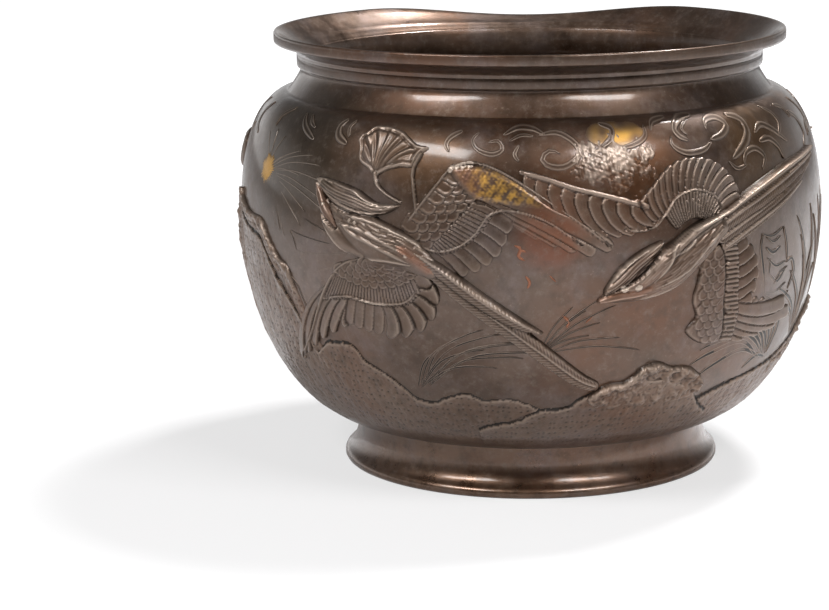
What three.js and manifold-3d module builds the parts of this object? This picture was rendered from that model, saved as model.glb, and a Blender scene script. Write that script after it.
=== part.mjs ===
// A cast bronze jardiniere with pheasants, rocks and clouds in applied relief.
// Millimetres, +Z up. The origin is the centre of the foot's resting face, and -Y is the front.
import * as THREE from "three";
import { mergeVertices } from "three/addons/utils/BufferGeometryUtils.js";
import Module from "manifold-3d";

const wasm = await Module();
wasm.setup();

// Driving dimensions
const bellyRadius = 145;
const bellyHeight = 128;
const shoulderRadius = 120;
const shoulderHeight = 187;
const neckRadius = 113.5;
const neckRise = 17.5;
const neckWaist = 0.5;
const neckShoulderWidth = 2;
const neckShoulderShare = 0.45;
const neckWaistShare = 0.72;
const bellyFullness = 1.12;
const wall = 3.6;
const lipFlare = 13.1;
const lipRise = 12.2;
const lipBand = 5.2;
const lipEdgeRound = 0.6;
const lipSag = 7;
const lipSagInward = 2;
const lipSagHalfAngle = 43;
const footJointRadius = 89;
const footSpread = 5.3;
const footWaist = 1.4;
const footHeight = 24;
const footRestWidth = 8;
const footBead = 3.6;
const footBeadRound = 1.4;
const basePlateThickness = 3;
const basePlateInset = 7;
const ledgeWidth = 6;
const ledgeThickness = 3.4;
const clearance = 0.3;
const layGap = 0.5;

// Sizes that follow from them
const neckHeight = shoulderHeight + neckRise;
const lipTop = neckHeight + lipRise;
const lipRadius = neckRadius + lipFlare;
const throatRadius = neckRadius - wall;
const footRadius = footJointRadius + footSpread;
const footWaistRadius = footJointRadius - footWaist;
const basePlateRadius = footJointRadius - basePlateInset;
const wallFoot = footHeight + clearance;

// The outlines of the relief are drawn for a wall of this belly radius, foot height and shoulder height.
const drawnBellyRadius = 145;
const drawnFootHeight = 24;
const drawnShoulderHeight = 187;

// Relief heights above the wall
const wingHeight = 2.4;
const rockHeight = 3;
const leafHeight = 1.8;
const inlayHeight = 0.8;
const tailHeight = 5;

// How finely the round pieces are faceted
const turns = 64;
const wallSteps = 8;
const bodySides = 8;
const inlaySides = 10;

const bronze = { color: 0x4a3a30, roughness: 0.38, metalness: 0.85 };
const gold = { color: 0xa8761c, roughness: 0.45, metalness: 0.9 };

const pot = new THREE.Group();

function addNode(name, geometry, finish = bronze) {
  const mesh = new THREE.Mesh(geometry, new THREE.MeshStandardMaterial(finish));
  mesh.name = name;
  pot.add(mesh);
  return mesh;
}

// Solids and geometries

function toSolid(geometry) {
  const bare = geometry.clone();
  bare.deleteAttribute("normal");
  bare.deleteAttribute("uv");
  const merged = mergeVertices(bare, 1e-4);
  return new wasm.Manifold(
    new wasm.Mesh({
      numProp: 3,
      vertProperties: merged.attributes.position.array,
      triVerts: new Uint32Array(merged.index.array),
    }),
  );
}

function toGeometry(solid) {
  const mesh = solid.getMesh();
  return new THREE.BufferGeometry()
    .setAttribute("position", new THREE.BufferAttribute(mesh.vertProperties, 3))
    .setIndex(new THREE.BufferAttribute(mesh.triVerts, 1));
}

// A ring or solid turned about Z from a closed list of [radius, height] points, which runs anticlockwise.
function turned(points) {
  const loop = [...points, points[0]].map(([r, z]) => new THREE.Vector2(r, z));
  return new THREE.LatheGeometry(loop, turns).rotateX(Math.PI / 2);
}

// The wall's outer face, as [radius, height] from the foot joint up to the top of the neck

function lowerWall(t) {
  const angle = (t * Math.PI) / 2;
  const rise = Math.sin(angle) ** bellyFullness;
  return [
    footJointRadius + (bellyRadius - footJointRadius) * rise,
    wallFoot + (bellyHeight - wallFoot) * (1 - Math.cos(angle)),
  ];
}

function upperWall(t) {
  const angle = (t * Math.PI) / 2;
  return [
    shoulderRadius + (bellyRadius - shoulderRadius) * Math.cos(angle),
    bellyHeight + (shoulderHeight - bellyHeight) * Math.sin(angle),
  ];
}

function outerWall() {
  const points = [];
  for (let i = 0; i <= wallSteps; i++) points.push(lowerWall(i / wallSteps));
  for (let i = 1; i <= wallSteps; i++) points.push(upperWall(i / wallSteps));
  const waist = neckRadius - neckWaist;
  points.push([waist + neckShoulderWidth, shoulderHeight + neckRise * neckShoulderShare]);
  points.push([waist, shoulderHeight + neckRise * neckWaistShare]);
  points.push([neckRadius, neckHeight]);
  return points;
}

// The same face moved out (or, with a negative distance, in) along its normals.
function offsetWall(distance) {
  const face = outerWall();
  return face.map(([r, z], i) => {
    const [r0, z0] = face[Math.max(0, i - 1)];
    const [r1, z1] = face[Math.min(face.length - 1, i + 1)];
    const length = Math.hypot(r1 - r0, z1 - z0);
    return [r + ((z1 - z0) / length) * distance, z - ((r1 - r0) / length) * distance];
  });
}

function levelled(face) {
  return face.map(([r, z]) => [r, Math.min(neckHeight, Math.max(wallFoot, z))]);
}

// Vessel

// The inner face takes every second point of the outer one.
function bodyShell() {
  const floor = basePlateRadius + clearance;
  const face = levelled(offsetWall(-wall)).map(([r, z]) => [Math.max(floor, r), z]);
  const inner = face.filter((point, i) => i % 2 === 0 && i > 0 && i < face.length - 1);
  inner.unshift([floor, wallFoot]);
  inner.push([throatRadius, neckHeight]);
  return turned([...outerWall(), ...inner.reverse()]);
}

// Heights in the hollow of the foot are shares of the foot's own height.
function footRing() {
  const restInside = footRadius - footRestWidth;
  const ledge = basePlateRadius - ledgeWidth;
  const inside = footWaistRadius - wall;
  const underLedge = footHeight - ledgeThickness;
  return turned([
    [restInside, 0],
    [footRadius - footBeadRound, 0],
    [footRadius, footBeadRound],
    [footRadius, footBead],
    [footRadius - footBeadRound, footBead + 2 * footBeadRound],
    [footWaistRadius + footBeadRound, footHeight * 0.46],
    [footWaistRadius, footHeight * 0.67],
    [footWaistRadius, underLedge],
    [footJointRadius, footHeight],
    [ledge, footHeight],
    [ledge, underLedge],
    [inside, underLedge - 2],
    [inside, footHeight * 0.42],
  ]);
}

function basePlate() {
  const disc = new THREE.CylinderGeometry(basePlateRadius, basePlateRadius, basePlateThickness, turns);
  return disc.rotateX(Math.PI / 2).translate(0, 0, wallFoot + basePlateThickness / 2);
}

// The lip is level but for its edge at the back, which sags and leans in.
function mouthLip() {
  const seat = neckHeight + clearance;
  const rise = lipTop - seat;
  const bandLow = lipTop - lipBand;
  const flareInside = lipRadius - throatRadius;
  const ring = turned([
    [neckRadius, seat],
    [neckRadius + lipFlare * 0.2, seat + rise * 0.18],
    [lipRadius - lipFlare * 0.27, bandLow - lipEdgeRound],
    [lipRadius - lipEdgeRound, bandLow],
    [lipRadius, bandLow + lipEdgeRound],
    [lipRadius, lipTop - lipEdgeRound],
    [lipRadius - lipEdgeRound, lipTop],
    [lipRadius - flareInside * 0.32, lipTop - rise * 0.35],
    [throatRadius + flareInside * 0.18, lipTop - rise * 0.84],
    [throatRadius, seat],
  ]);
  const place = ring.attributes.position;
  const halfAngle = THREE.MathUtils.degToRad(lipSagHalfAngle);
  for (let i = 0; i < place.count; i++) {
    const x = place.getX(i);
    const y = place.getY(i);
    const radius = Math.hypot(x, y);
    const fromBack = Math.abs(Math.atan2(x, y));
    if (fromBack >= halfAngle) continue;
    const across = Math.max(0, (radius - throatRadius) / (lipRadius - throatRadius));
    const bell = Math.cos((fromBack / halfAngle) * (Math.PI / 2)) ** 2 * across ** 1.3;
    const pulled = (radius - lipSagInward * bell) / radius;
    place.setXYZ(i, x * pulled, y * pulled, Math.max(seat, place.getZ(i) - lipSag * bell));
  }
  return ring;
}

// Relief work

// The solid inside the wall's outer face moved out by a distance.
function wallSkin(distance) {
  const face = offsetWall(distance);
  const low = [0, face[0][1]];
  const high = [0, face[face.length - 1][1]];
  return toSolid(turned([low, ...face, high]));
}

const restingWall = wallSkin(clearance);

// A relief's prism runs out along the radius, from the first share of the belly radius over the second.
const prismStartShare = 0.3;
const prismDepthShare = 0.9;

// The turn, in radians, of a place given as arc round the belly, in mm and + to the right of the front.
function turnTo(arc) {
  return arc / bellyRadius;
}

// A prism of the outline pushed through the wall along the radius at its middle.
function radialPrism(outline) {
  const arcs = outline.map(([arc]) => arc);
  const middle = turnTo((Math.min(...arcs) + Math.max(...arcs)) / 2);
  const flat = outline.map(([arc, z]) => new THREE.Vector2(bellyRadius * Math.sin(turnTo(arc) - middle), z));
  const curve = new THREE.SplineCurve([...flat, flat[0]]);
  const shape = new THREE.Shape(curve.getPoints(outline.length * 2).slice(0, -1));
  const depth = bellyRadius * prismDepthShare;
  const prism = new THREE.ExtrudeGeometry(shape, { depth, bevelEnabled: false, steps: 1 });
  prism.rotateX(Math.PI / 2);
  prism.translate(0, -bellyRadius * prismStartShare, 0);
  prism.rotateZ(middle);
  return toSolid(prism);
}

// The outline moved out by a distance along its normals; outlines run either way round.
function grownOutline(outline, distance) {
  const after = (i) => outline[(i + 1) % outline.length];
  const area = outline.reduce((sum, [s, z], i) => sum + s * after(i)[1] - after(i)[0] * z, 0);
  return outline.map(([s, z], i) => {
    const before = outline[(i + outline.length - 1) % outline.length];
    const [ds, dz] = [after(i)[0] - before[0], after(i)[1] - before[1]];
    const step = (distance * Math.sign(area)) / Math.hypot(ds, dz);
    return [s + dz * step, z - ds * step];
  });
}

function reliefPlate(outline, height) {
  return radialPrism(outline).intersect(wallSkin(clearance + height)).subtract(restingWall);
}

function wallRadiusAt(z) {
  const face = outerWall();
  for (let i = 1; i < face.length; i++) {
    const [r0, z0] = face[i - 1];
    const [r1, z1] = face[i];
    if (z <= z1) return r0 + ((r1 - r0) * Math.max(0, z - z0)) / (z1 - z0);
  }
  return neckRadius;
}

// How far a bird's body reaches into the wall before it is cut to the wall's face
const bodySink = 1.5;

// A tapering body laid on the wall along [arc, height, half width, stand] stations.
function reliefBody(stations, grow = 0) {
  const sides = bodySides;
  const positions = [];
  const place = ([arc, z, half, stand], i) => {
    const next = stations[Math.min(stations.length - 1, i + 1)];
    const last = stations[Math.max(0, i - 1)];
    const run = Math.atan2(next[1] - last[1], next[0] - last[0]);
    const lead = grow * (i === 0 ? -1 : i === stations.length - 1 ? 1 : 0);
    const ring = [];
    for (let k = 0; k < sides; k++) {
      const turn = (k / sides) * Math.PI * 2;
      const across = (half + grow) * Math.cos(turn);
      const out = stand / 2 + (stand / 2 + bodySink + grow) * Math.sin(turn);
      const s = turnTo(arc + lead * Math.cos(run) - across * Math.sin(run));
      const height = z + lead * Math.sin(run) + across * Math.cos(run);
      const radius = wallRadiusAt(height) + out;
      ring.push([radius * Math.sin(s), -radius * Math.cos(s), height]);
    }
    return ring;
  };
  const rings = stations.map(place);
  const middleOf = (ring) => ring.reduce((sum, p) => sum.map((v, j) => v + p[j] / sides), [0, 0, 0]);
  const push = (...corners) => corners.forEach((p) => positions.push(...p));
  for (let i = 1; i < rings.length; i++)
    for (let k = 0; k < sides; k++) {
      const m = (k + 1) % sides;
      push(rings[i - 1][k], rings[i][k], rings[i][m]);
      push(rings[i - 1][k], rings[i][m], rings[i - 1][m]);
    }
  const first = rings[0];
  const end = rings[rings.length - 1];
  for (let k = 0; k < sides; k++) {
    const m = (k + 1) % sides;
    push(middleOf(first), first[k], first[m]);
    push(middleOf(end), end[m], end[k]);
  }
  const geometry = new THREE.BufferGeometry();
  geometry.setAttribute("position", new THREE.Float32BufferAttribute(positions, 3));
  const merged = mergeVertices(geometry, 1e-4);
  const solid = toSolid(merged);
  return solid.volume() > 0 ? solid : toSolid(flipped(merged));
}

function flipped(geometry) {
  const turnedRound = geometry.clone();
  const index = turnedRound.index.array;
  for (let i = 0; i < index.length; i += 3) [index[i + 1], index[i + 2]] = [index[i + 2], index[i + 1]];
  return turnedRound;
}

function largestBody(solid) {
  return solid.decompose().reduce((best, s) => (s.volume() > best.volume() ? s : best));
}

// What lies on the wall already, each with its clearance round it
const laid = [];

function lay(name, solid, finish) {
  const cleared = laid.reduce((left, other) => left.subtract(other), solid);
  addNode(name, toGeometry(largestBody(cleared)), finish);
}

// A drawn outline or station list brought to the wall's own belly radius and heights.
function fitted(drawn) {
  const across = bellyRadius / drawnBellyRadius;
  const upright = (shoulderHeight - footHeight) / (drawnShoulderHeight - drawnFootHeight);
  const raised = (z) => footHeight + (z - drawnFootHeight) * upright;
  return drawn.map(([arc, z, ...rest]) => [arc * across, raised(z), ...rest]);
}

function layBody(name, drawn, finish = bronze) {
  const stations = fitted(drawn);
  lay(name, reliefBody(stations).subtract(restingWall), finish);
  laid.push(reliefBody(stations, layGap));
}

function layPlate(name, drawn, height, finish = bronze) {
  const outline = fitted(drawn);
  lay(name, reliefPlate(outline, height), finish);
  laid.push(radialPrism(grownOutline(outline, layGap)));
}

const shifted = (outline, arc, rise = 0, mirror = 1) =>
  outline.map(([s, z, ...rest]) => [arc + mirror * s, z + rise, ...rest]);

// The two birds of the front, in arc and height. Stations are [arc, height, half width, stand].
const divingBird = {
  body: [[-110, 155, 1.5, 3], [-102, 149, 6, 6], [-88, 142, 10, 8], [-72, 133, 11, 8], [-58, 126, 9, 7],
    [-46, 119, 6, 6]],
  tail: [[-44.5, 118, 5, 5], [-20, 104, 5.6, tailHeight], [8, 83, 6, tailHeight], [34, 64.5, 4.4, 3.6]],
  raisedWing: [[-60, 137], [-50, 152], [-38, 165], [-20, 170], [0, 162], [20, 161], [44, 150], [58, 144],
    [44, 133], [38, 127], [22, 134], [2, 146], [-6, 138], [-12, 124], [-28, 118], [-44, 124]],
  loweredWing: [[-82, 122], [-101, 110], [-113, 95], [-124, 80], [-137, 64], [-119, 74], [-98, 93], [-84, 94],
    [-66, 85], [-52, 88], [-42, 98], [-40, 109], [-50, 118], [-66, 124]],
};
const stoopingBird = {
  body: [[30, 105, 1.5, 3], [40, 110, 6, 6], [52, 116, 9.5, 8], [66, 125, 10, 8], [80, 134, 7, 6]],
  tail: [[81.5, 135, 5.5, 5], [104, 143, 7, tailHeight], [140, 153, 7, tailHeight], [176, 160, 4.6, 3.6]],
  raisedWing: [[42, 138], [50, 150], [62, 160], [78, 169], [94, 167], [106, 157], [108, 148], [90, 139],
    [72, 133], [56, 130]],
  loweredWing: [[84, 126], [78, 110], [76, 92], [82, 82], [98, 82], [116, 82], [140, 84], [157, 87],
    [150, 96], [132, 99], [118, 112], [104, 124]],
};

function layBird(name, bird, arc = 0, rise = 0, mirror = 1) {
  const placed = (outline) => shifted(outline, arc, rise, mirror);
  layBody(name + "_body", placed(bird.body));
  layBody(name + "_tail", placed(bird.tail));
  layPlate(name + "_raised_wing", placed(bird.raisedWing), wingHeight);
  layPlate(name + "_lowered_wing", placed(bird.loweredWing), wingHeight);
}

// Rocks, leaf and inlays, in arc and height
const leftRock = [[-196, 140], [-180, 134], [-158, 132], [-140, 112], [-128, 96], [-122, 84], [-128, 66],
  [-150, 52], [-176, 50], [-200, 62]];
const middleRock = [[30, 57], [40, 64], [56, 67], [66, 73], [84, 69], [96, 66], [98, 56], [80, 50], [54, 46],
  [36, 47]];
const rightRock = [[160, 60], [178, 66], [194, 78], [214, 85], [228, 78], [232, 62], [214, 50], [186, 46],
  [166, 50]];
const fanLeaf = [[-88, 176], [-84, 182], [-72, 183], [-62, 178], [-48, 174], [-54, 166], [-55, 157],
  [-66, 154], [-78, 164]];
const blossomArc = -156;
const blossomHeight = 157.5;
const blossomRadius = 8;
const cloudInlay = [[30, 183], [38, 185.4], [52, 184], [56, 179], [46, 176], [36, 178]];
const sideLeaf = [[-236, 151], [-238, 161], [-230, 167], [-222, 163], [-222, 154], [-229, 148]];
// The rear repeats the front's birds the other way round, about this arc.
const rearArc = Math.PI * drawnBellyRadius - 30;

const circleOutline = (arc, z, radius) =>
  Array.from({ length: inlaySides }, (_, i) => {
    const turn = (i / inlaySides) * Math.PI * 2;
    return [arc + radius * Math.cos(turn), z + radius * Math.sin(turn)];
  });

addNode("body_shell", bodyShell());
addNode("foot_ring", footRing());
addNode("base_plate", basePlate());
addNode("mouth_lip", mouthLip());

layBird("diving_pheasant", divingBird);
layBird("stooping_pheasant", stoopingBird);
layBird("rear_diving_pheasant", divingBird, rearArc, 0, -1);
layBird("rear_stooping_pheasant", stoopingBird, rearArc, 0, -1);
layPlate("fan_leaf", fanLeaf, leafHeight);
layPlate("left_rock", leftRock, rockHeight);
layPlate("middle_rock", middleRock, rockHeight);
layPlate("right_rock", rightRock, rockHeight);
layPlate("rear_rock", shifted(middleRock, rearArc, 0, -1), rockHeight);
layPlate("side_leaf", sideLeaf, leafHeight);
layPlate("gold_blossom", circleOutline(blossomArc, blossomHeight, blossomRadius), inlayHeight, gold);
layPlate("gold_cloud", cloudInlay, inlayHeight, gold);

export default pot;
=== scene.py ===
import math

import bmesh
import bpy
import numpy as np
from mathutils import Matrix, Vector


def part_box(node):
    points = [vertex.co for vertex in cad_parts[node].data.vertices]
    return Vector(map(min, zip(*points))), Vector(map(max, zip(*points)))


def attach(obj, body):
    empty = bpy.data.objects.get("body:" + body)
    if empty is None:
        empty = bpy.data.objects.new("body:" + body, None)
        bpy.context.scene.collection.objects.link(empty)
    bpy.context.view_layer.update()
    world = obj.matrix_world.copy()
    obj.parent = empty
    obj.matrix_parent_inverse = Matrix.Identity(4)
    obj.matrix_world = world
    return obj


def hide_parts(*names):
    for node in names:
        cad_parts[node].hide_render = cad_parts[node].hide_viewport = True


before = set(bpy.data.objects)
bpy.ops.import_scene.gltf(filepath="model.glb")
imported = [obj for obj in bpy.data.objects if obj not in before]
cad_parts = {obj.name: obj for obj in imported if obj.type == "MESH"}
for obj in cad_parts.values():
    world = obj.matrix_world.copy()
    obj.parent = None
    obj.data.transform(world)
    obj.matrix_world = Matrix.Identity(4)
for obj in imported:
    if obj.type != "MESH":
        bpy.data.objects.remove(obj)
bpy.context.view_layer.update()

# The wall's sizes and the relief are in millimetres. What Blender gets is in metres.
MM = 0.001

# Camera: the photograph is this many pixels wide, and the focal length is in its pixels
PHOTO_WIDTH = 829
FOCAL_PIXELS = 2696
SENSOR_WIDTH = 36
FAR_CLIP = 50
CAMERA_PLACE = (0, -1.338, 0.3556)
CAMERA_PITCH = math.radians(11.81)
CAMERA_YAW = math.radians(2.5)
CAMERA_ROLL = math.radians(-0.71)

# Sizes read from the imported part
shell_low, shell_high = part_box("body_shell")
foot_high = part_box("foot_ring")[1]
lip_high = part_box("mouth_lip")[1]
BELLY = shell_high.x / MM
WALL_FOOT = shell_low.z / MM
WALL_TOP = shell_high.z / MM
FOOT = foot_high.x / MM
LIP = lip_high.x / MM
LIP_TOP = lip_high.z / MM

# Sizes of the wall that no box shows
BELLY_UP = 128
SHOULDER_UP = 187
SHOULDER = 120
FOOT_JOINT = 89
FULLNESS = 1.12
WALL = 3.6

# Relief: its grid's step, how deep its back lies in the wall, and where on the rear the front's middle goes
CELL = 0.45
BURIED = 1.2
REAR_ARC = math.pi * BELLY - 30

# A distance beyond everything, and one that is nothing
FAR = 1e9
TINY = 1e-6


# Placing things on the wall


def wall_radius(up):
    """The wall's outer radius at a height, up to the shoulder's edge."""
    lower = np.clip((up - WALL_FOOT) / (BELLY_UP - WALL_FOOT), 0, 1)
    sine = np.sqrt(np.clip(1 - (1 - lower) ** 2, 0, 1))
    below = FOOT_JOINT + (BELLY - FOOT_JOINT) * sine**FULLNESS
    upper = np.clip((up - BELLY_UP) / (SHOULDER_UP - BELLY_UP), 0, 1)
    above = SHOULDER + (BELLY - SHOULDER) * np.sqrt(1 - upper**2)
    return np.where(up < BELLY_UP, below, above)


# The relief stays this far under the shoulder's edge, and slopes are read over this step each way
SHOULDER_MARGIN = 0.4
SLOPE_STEP = 0.1


def on_wall(arc, up, out):
    """World places, in metres, of points at an arc round the belly, a height and a lift off the wall."""
    up = np.minimum(up, SHOULDER_UP - SHOULDER_MARGIN)
    radius = wall_radius(up)
    slope = wall_radius(up + SLOPE_STEP) - wall_radius(up - SLOPE_STEP)
    rise = 2 * SLOPE_STEP
    length = np.hypot(slope, rise)
    radius = radius + out * rise / length
    height = up - out * slope / length
    turn = arc / BELLY
    return np.stack([radius * np.sin(turn), -radius * np.cos(turn), height], 1) * MM


def smooth_path(points, steps=8, closed=False):
    """A smooth curve through the points, in equal steps from each to the next."""
    pts = np.array(points, float)
    if closed:
        pts = np.vstack([pts[-1], pts, pts[0], pts[1]])
    else:
        pts = np.vstack([2 * pts[0] - pts[1], pts, 2 * pts[-1] - pts[-2]])
    t = np.linspace(0, 1, steps, endpoint=False)[:, None]
    parts = []
    for a, b, c, d in zip(pts, pts[1:], pts[2:], pts[3:]):
        bend = 2 * a - 5 * b + 4 * c - d
        twist = 3 * b - a - 3 * c + d
        parts.append(0.5 * (2 * b + (c - a) * t + bend * t**2 + twist * t**3))
    if not closed:
        parts.append(pts[-2][None])
    return np.vstack(parts)


def spaced(points, count):
    """Points evenly spaced along the smooth curve through the given ones."""
    path = smooth_path(points)
    run = np.concatenate([[0], np.cumsum(np.hypot(*np.diff(path[:, :2], axis=0).T))])
    at = np.linspace(0, run[-1], count)
    return np.stack([np.interp(at, run, path[:, k]) for k in range(path.shape[1])], 1)


# The marks that chasing leaves, the most one can be, and the wear of a plain place and of a silvered one. The
# first mark is wear and, in places, a painted highlight; the last is dark patina and painted shade
MARKS = ("wear", "gilt", "red", "patina_and_painted_shade")
MOST_MARKED = 2
PLAIN_WEAR = 0.1
SILVERED = 2.5


class Chasing:
    """A stretch of wall under the chaser's tools: its lift, and how worn (with a painted highlight in
    places), gilt, red and dark (dark patina and painted shade) each point is.

    Ground is the lift of the mound that feathers are laid on.
    """

    def __init__(self, arc, up):
        self.arc, self.up = arc, up
        self.lift = np.full(arc.shape, -BURIED)
        self.ground, self.wear, self.gilt, self.red, self.patina_and_painted_shade = np.zeros((5,) + arc.shape)

    def near(self, points, margin):
        """Which grid points lie in the box round the given ones."""
        pts = np.array(points, float)[:, :2]
        low, high = pts.min(0) - margin, pts.max(0) + margin
        beside = (self.arc > low[0]) & (self.arc < high[0])
        return np.flatnonzero(beside & (self.up > low[1]) & (self.up < high[1]))

    def along(self, path, where):
        """Share of the way along a path, distance beside it, left being plus, and the path's widths there."""
        path = np.array(path, float)
        p = np.stack([self.arc[where], self.up[where]], 1)
        best = np.full(len(p), FAR)
        share, side = np.zeros(len(p)), np.zeros(len(p))
        steps = np.hypot(*np.diff(path[:, :2], axis=0).T)
        run = np.concatenate([[0], np.cumsum(steps)]) / steps.sum()
        for i, step in enumerate(steps):
            if step < TINY:
                continue
            a, way = path[i, :2], (path[i + 1, :2] - path[i, :2]) / step
            t = np.clip((p - a) @ way, 0, step)
            away = p - a - t[:, None] * way
            d = np.hypot(away[:, 0], away[:, 1])
            closer = d < best
            best = np.where(closer, d, best)
            share = np.where(closer, run[i] + (run[i + 1] - run[i]) * t / step, share)
            side = np.where(closer, np.sign(way[0] * away[:, 1] - way[1] * away[:, 0]) * d, side)
        extra = [np.interp(share, run, path[:, k]) for k in range(2, path.shape[1])]
        return share, side, extra

    def inside(self, outline, where):
        """Distance in from a closed outline's edge, negative outside."""
        path = np.array(outline, float)
        x, y = self.arc[where], self.up[where]
        odd = np.zeros(len(x), bool)
        best = np.full(len(x), FAR)
        for (ax, ay), (bx, by) in zip(path, np.roll(path, -1, 0)):
            crosses = (ay > y) != (by > y)
            if ay != by:
                odd ^= crosses & (x < (bx - ax) * (y - ay) / (by - ay) + ax)
            dx, dy = bx - ax, by - ay
            t = np.clip(((x - ax) * dx + (y - ay) * dy) / max(dx * dx + dy * dy, 1e-9), 0, 1)
            best = np.minimum(best, np.hypot(x - ax - t * dx, y - ay - t * dy))
        return np.where(odd, best, -best)

    def within(self, path):
        """The points inside a closed outline, and how far in each is."""
        where = self.near(path, 1)
        depth = self.inside(path, where)
        return where[depth > 0], depth[depth > 0]

    def feather(self, root, tip, half, bend=0.0, low=0.4, rise=0.7, lean=1, round_end=1.0):
        """One feather over what is there: tilted like a shingle, with a rounded end and a cut round it."""
        root_share, swell_share, cut, end_cut = 0.66, 0.34, 0.4, 0.5
        root, tip = np.array(root, float), np.array(tip, float)
        length = np.hypot(*(tip - root))
        way = (tip - root) / length
        where = self.near([root, tip], half * 2 + abs(bend) * length)
        x, y = self.arc[where] - root[0], self.up[where] - root[1]
        t = (x * way[0] + y * way[1]) / length
        side = way[0] * y - way[1] * x - bend * length * 4 * t * (1 - t)
        s = np.clip(t, 0, 1)
        reach = half * round_end
        end = np.clip((s * length - (length - reach)) / reach, 0, 1)
        swell = root_share + swell_share * np.sin(np.minimum(s * 1.5, 1) * math.pi / 2)
        width = half * swell * np.sqrt(1 - end**2)
        on = (t > 0) & (t < 1) & (np.abs(side) < width)
        rim = (t > -0.02) & (t < 1 + end_cut / length) & (np.abs(side) < width + cut) & ~on
        k = where[rim]
        self.lift[k] = np.minimum(self.lift[k], self.ground[k] + low * 0.35)
        self.wear[k] = 0
        tilt = (side / np.maximum(width, 0.1) * lean)[on]
        k = where[on]
        crown = 0.55 + 0.4 * tilt - 0.35 * end[on] ** 3 - 0.3 * np.abs(tilt) ** 6
        self.lift[k] = self.ground[k] + low + rise * crown * (0.4 + 0.6 * s[on])
        self.wear[k] = 0.06 + 0.1 * np.clip(tilt, 0, 1)
        self.gilt[k] = 0

    def scale(self, place, way, size, low=0.3, rise=0.6):
        """One small round feather, tilted up to a bright rim."""
        outer, rim_at, rim_half = 0.56, 0.44, 0.07
        way = np.array(way, float) / np.hypot(*way)
        where = self.near([place], size * 1.2)
        x, y = self.arc[where] - place[0], self.up[where] - place[1]
        t, side = (x * way[0] + y * way[1]) / size, (way[0] * y - way[1] * x) / size
        far = np.where(t > 0, np.hypot(t, side), np.abs(side))
        on = (far < outer) & (t > -0.6)
        k = where[on]
        far, t = far[on], t[on]
        rim = 0.3 * np.exp(-(((far - rim_at) / rim_half) ** 2))
        self.lift[k] = self.ground[k] + low + rise * np.clip(0.35 + t, 0, 1) + rim - 0.5 * (far > 0.52)
        self.wear[k] = 0.08

    def row(self, roots, tips, count, half, bend=0.0, low=0.4, rise=0.7, lean=1, round_end=1.0, back=False,
            step=0.0):
        """A row of feathers between a line of roots and a line of tips, each over the one before."""
        pairs = list(zip(spaced(roots, count), spaced(tips, count)))
        if back:
            pairs.reverse()
        for i, (root, tip) in enumerate(pairs):
            self.feather(root, tip, half, bend, low + step * i / count, rise, lean, round_end)

    def mound(self, stations, power=0.5, keep=False):
        """A rounded mass along [arc, up, half width, stand] stations; what follows is laid over it."""
        path = smooth_path(stations)
        where = self.near(path, path[:, 2].max() + 1)
        share, side, (half, stand) = self.along(path, where)
        a = np.abs(side) / half
        on = a < 1
        top = stand[on] * (1 - a[on] ** 2) ** power
        k = where[on]
        self.ground[k] = np.maximum(self.ground[k], top) if keep else top
        self.lift[k] = self.ground[k]
        self.wear[k] = PLAIN_WEAR
        return where, share, side, half, on

    def rim(self, points, half, stand, wear):
        """A smooth raised edge that stands at one height whatever lies under it."""
        where, share, _, _, on = self.mound([(arc, up, half, stand) for arc, up in points], power=0.5,
                                            keep=True)
        thin = np.clip(np.minimum(share[on], 1 - share[on]) * 12, 0.3, 1)
        self.lift[where[on]] *= thin
        self.wear[where[on]] = wear

    def line(self, points, half, lift, wear=None, red=None):
        """A raised or cut line with soft shoulders, thinning at its ends."""
        path = smooth_path(points)
        where = self.near(path, half * 2)
        share, side, _ = self.along(path, where)
        thin = half * np.clip(np.minimum(share, 1 - share) * 9, 0.25, 1)
        soft = np.exp(-((side / thin) ** 2))
        on = (soft > 0.05) & (self.lift[where] > -BURIED)
        k = where[on]
        self.lift[k] += lift * soft[on]
        for name, value in (("wear", wear), ("red", red)):
            if value is not None:
                held = getattr(self, name)
                held[k] = held[k] * (1 - soft[on]) + value * soft[on]

    def bead(self, place, radius, lift):
        """A small silvered bead."""
        where = self.near([place], radius + 0.5)
        d = np.hypot(self.arc[where] - place[0], self.up[where] - place[1]) / radius
        on = d < 1
        k = where[on]
        self.lift[k] += lift * np.sqrt(1 - d[on] ** 2)
        self.wear[k] = SILVERED
        self.gilt[k] = 0
        self.red[k] = 0


def speckle(x, y, pitch, seed):
    """Smooth pitted noise between -1 and 1."""
    total = np.zeros(np.shape(x))
    turn = np.random.default_rng(seed)
    for _ in range(7):
        way, shift = turn.uniform(0, 2 * math.pi, 2)
        size = turn.uniform(0.7, 1.5) * 2 * math.pi / pitch
        across = (x * math.cos(way) + y * math.sin(way)) * size
        total += np.sin(across + shift + np.sin(y * size * 0.37 + shift))
    return total / 4


# The birds, each in four pieces. Places are (arc, height), and a mound's also give its half width and stand.


def scales(p, start, along, down, rows, count, size, rise=0.45):
    """Overlapping round feathers in staggered rows. Rows lie along one line and step towards another."""
    start, along, down = (np.array(v, float) for v in (start, along, down))
    for r in reversed(range(rows)):
        for c in range(count + 1):
            place = start + down * (r / rows) + along * ((c - 0.5 * (r % 2)) / count)
            p.scale(place, down, size, low=0.3, rise=rise)


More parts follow.
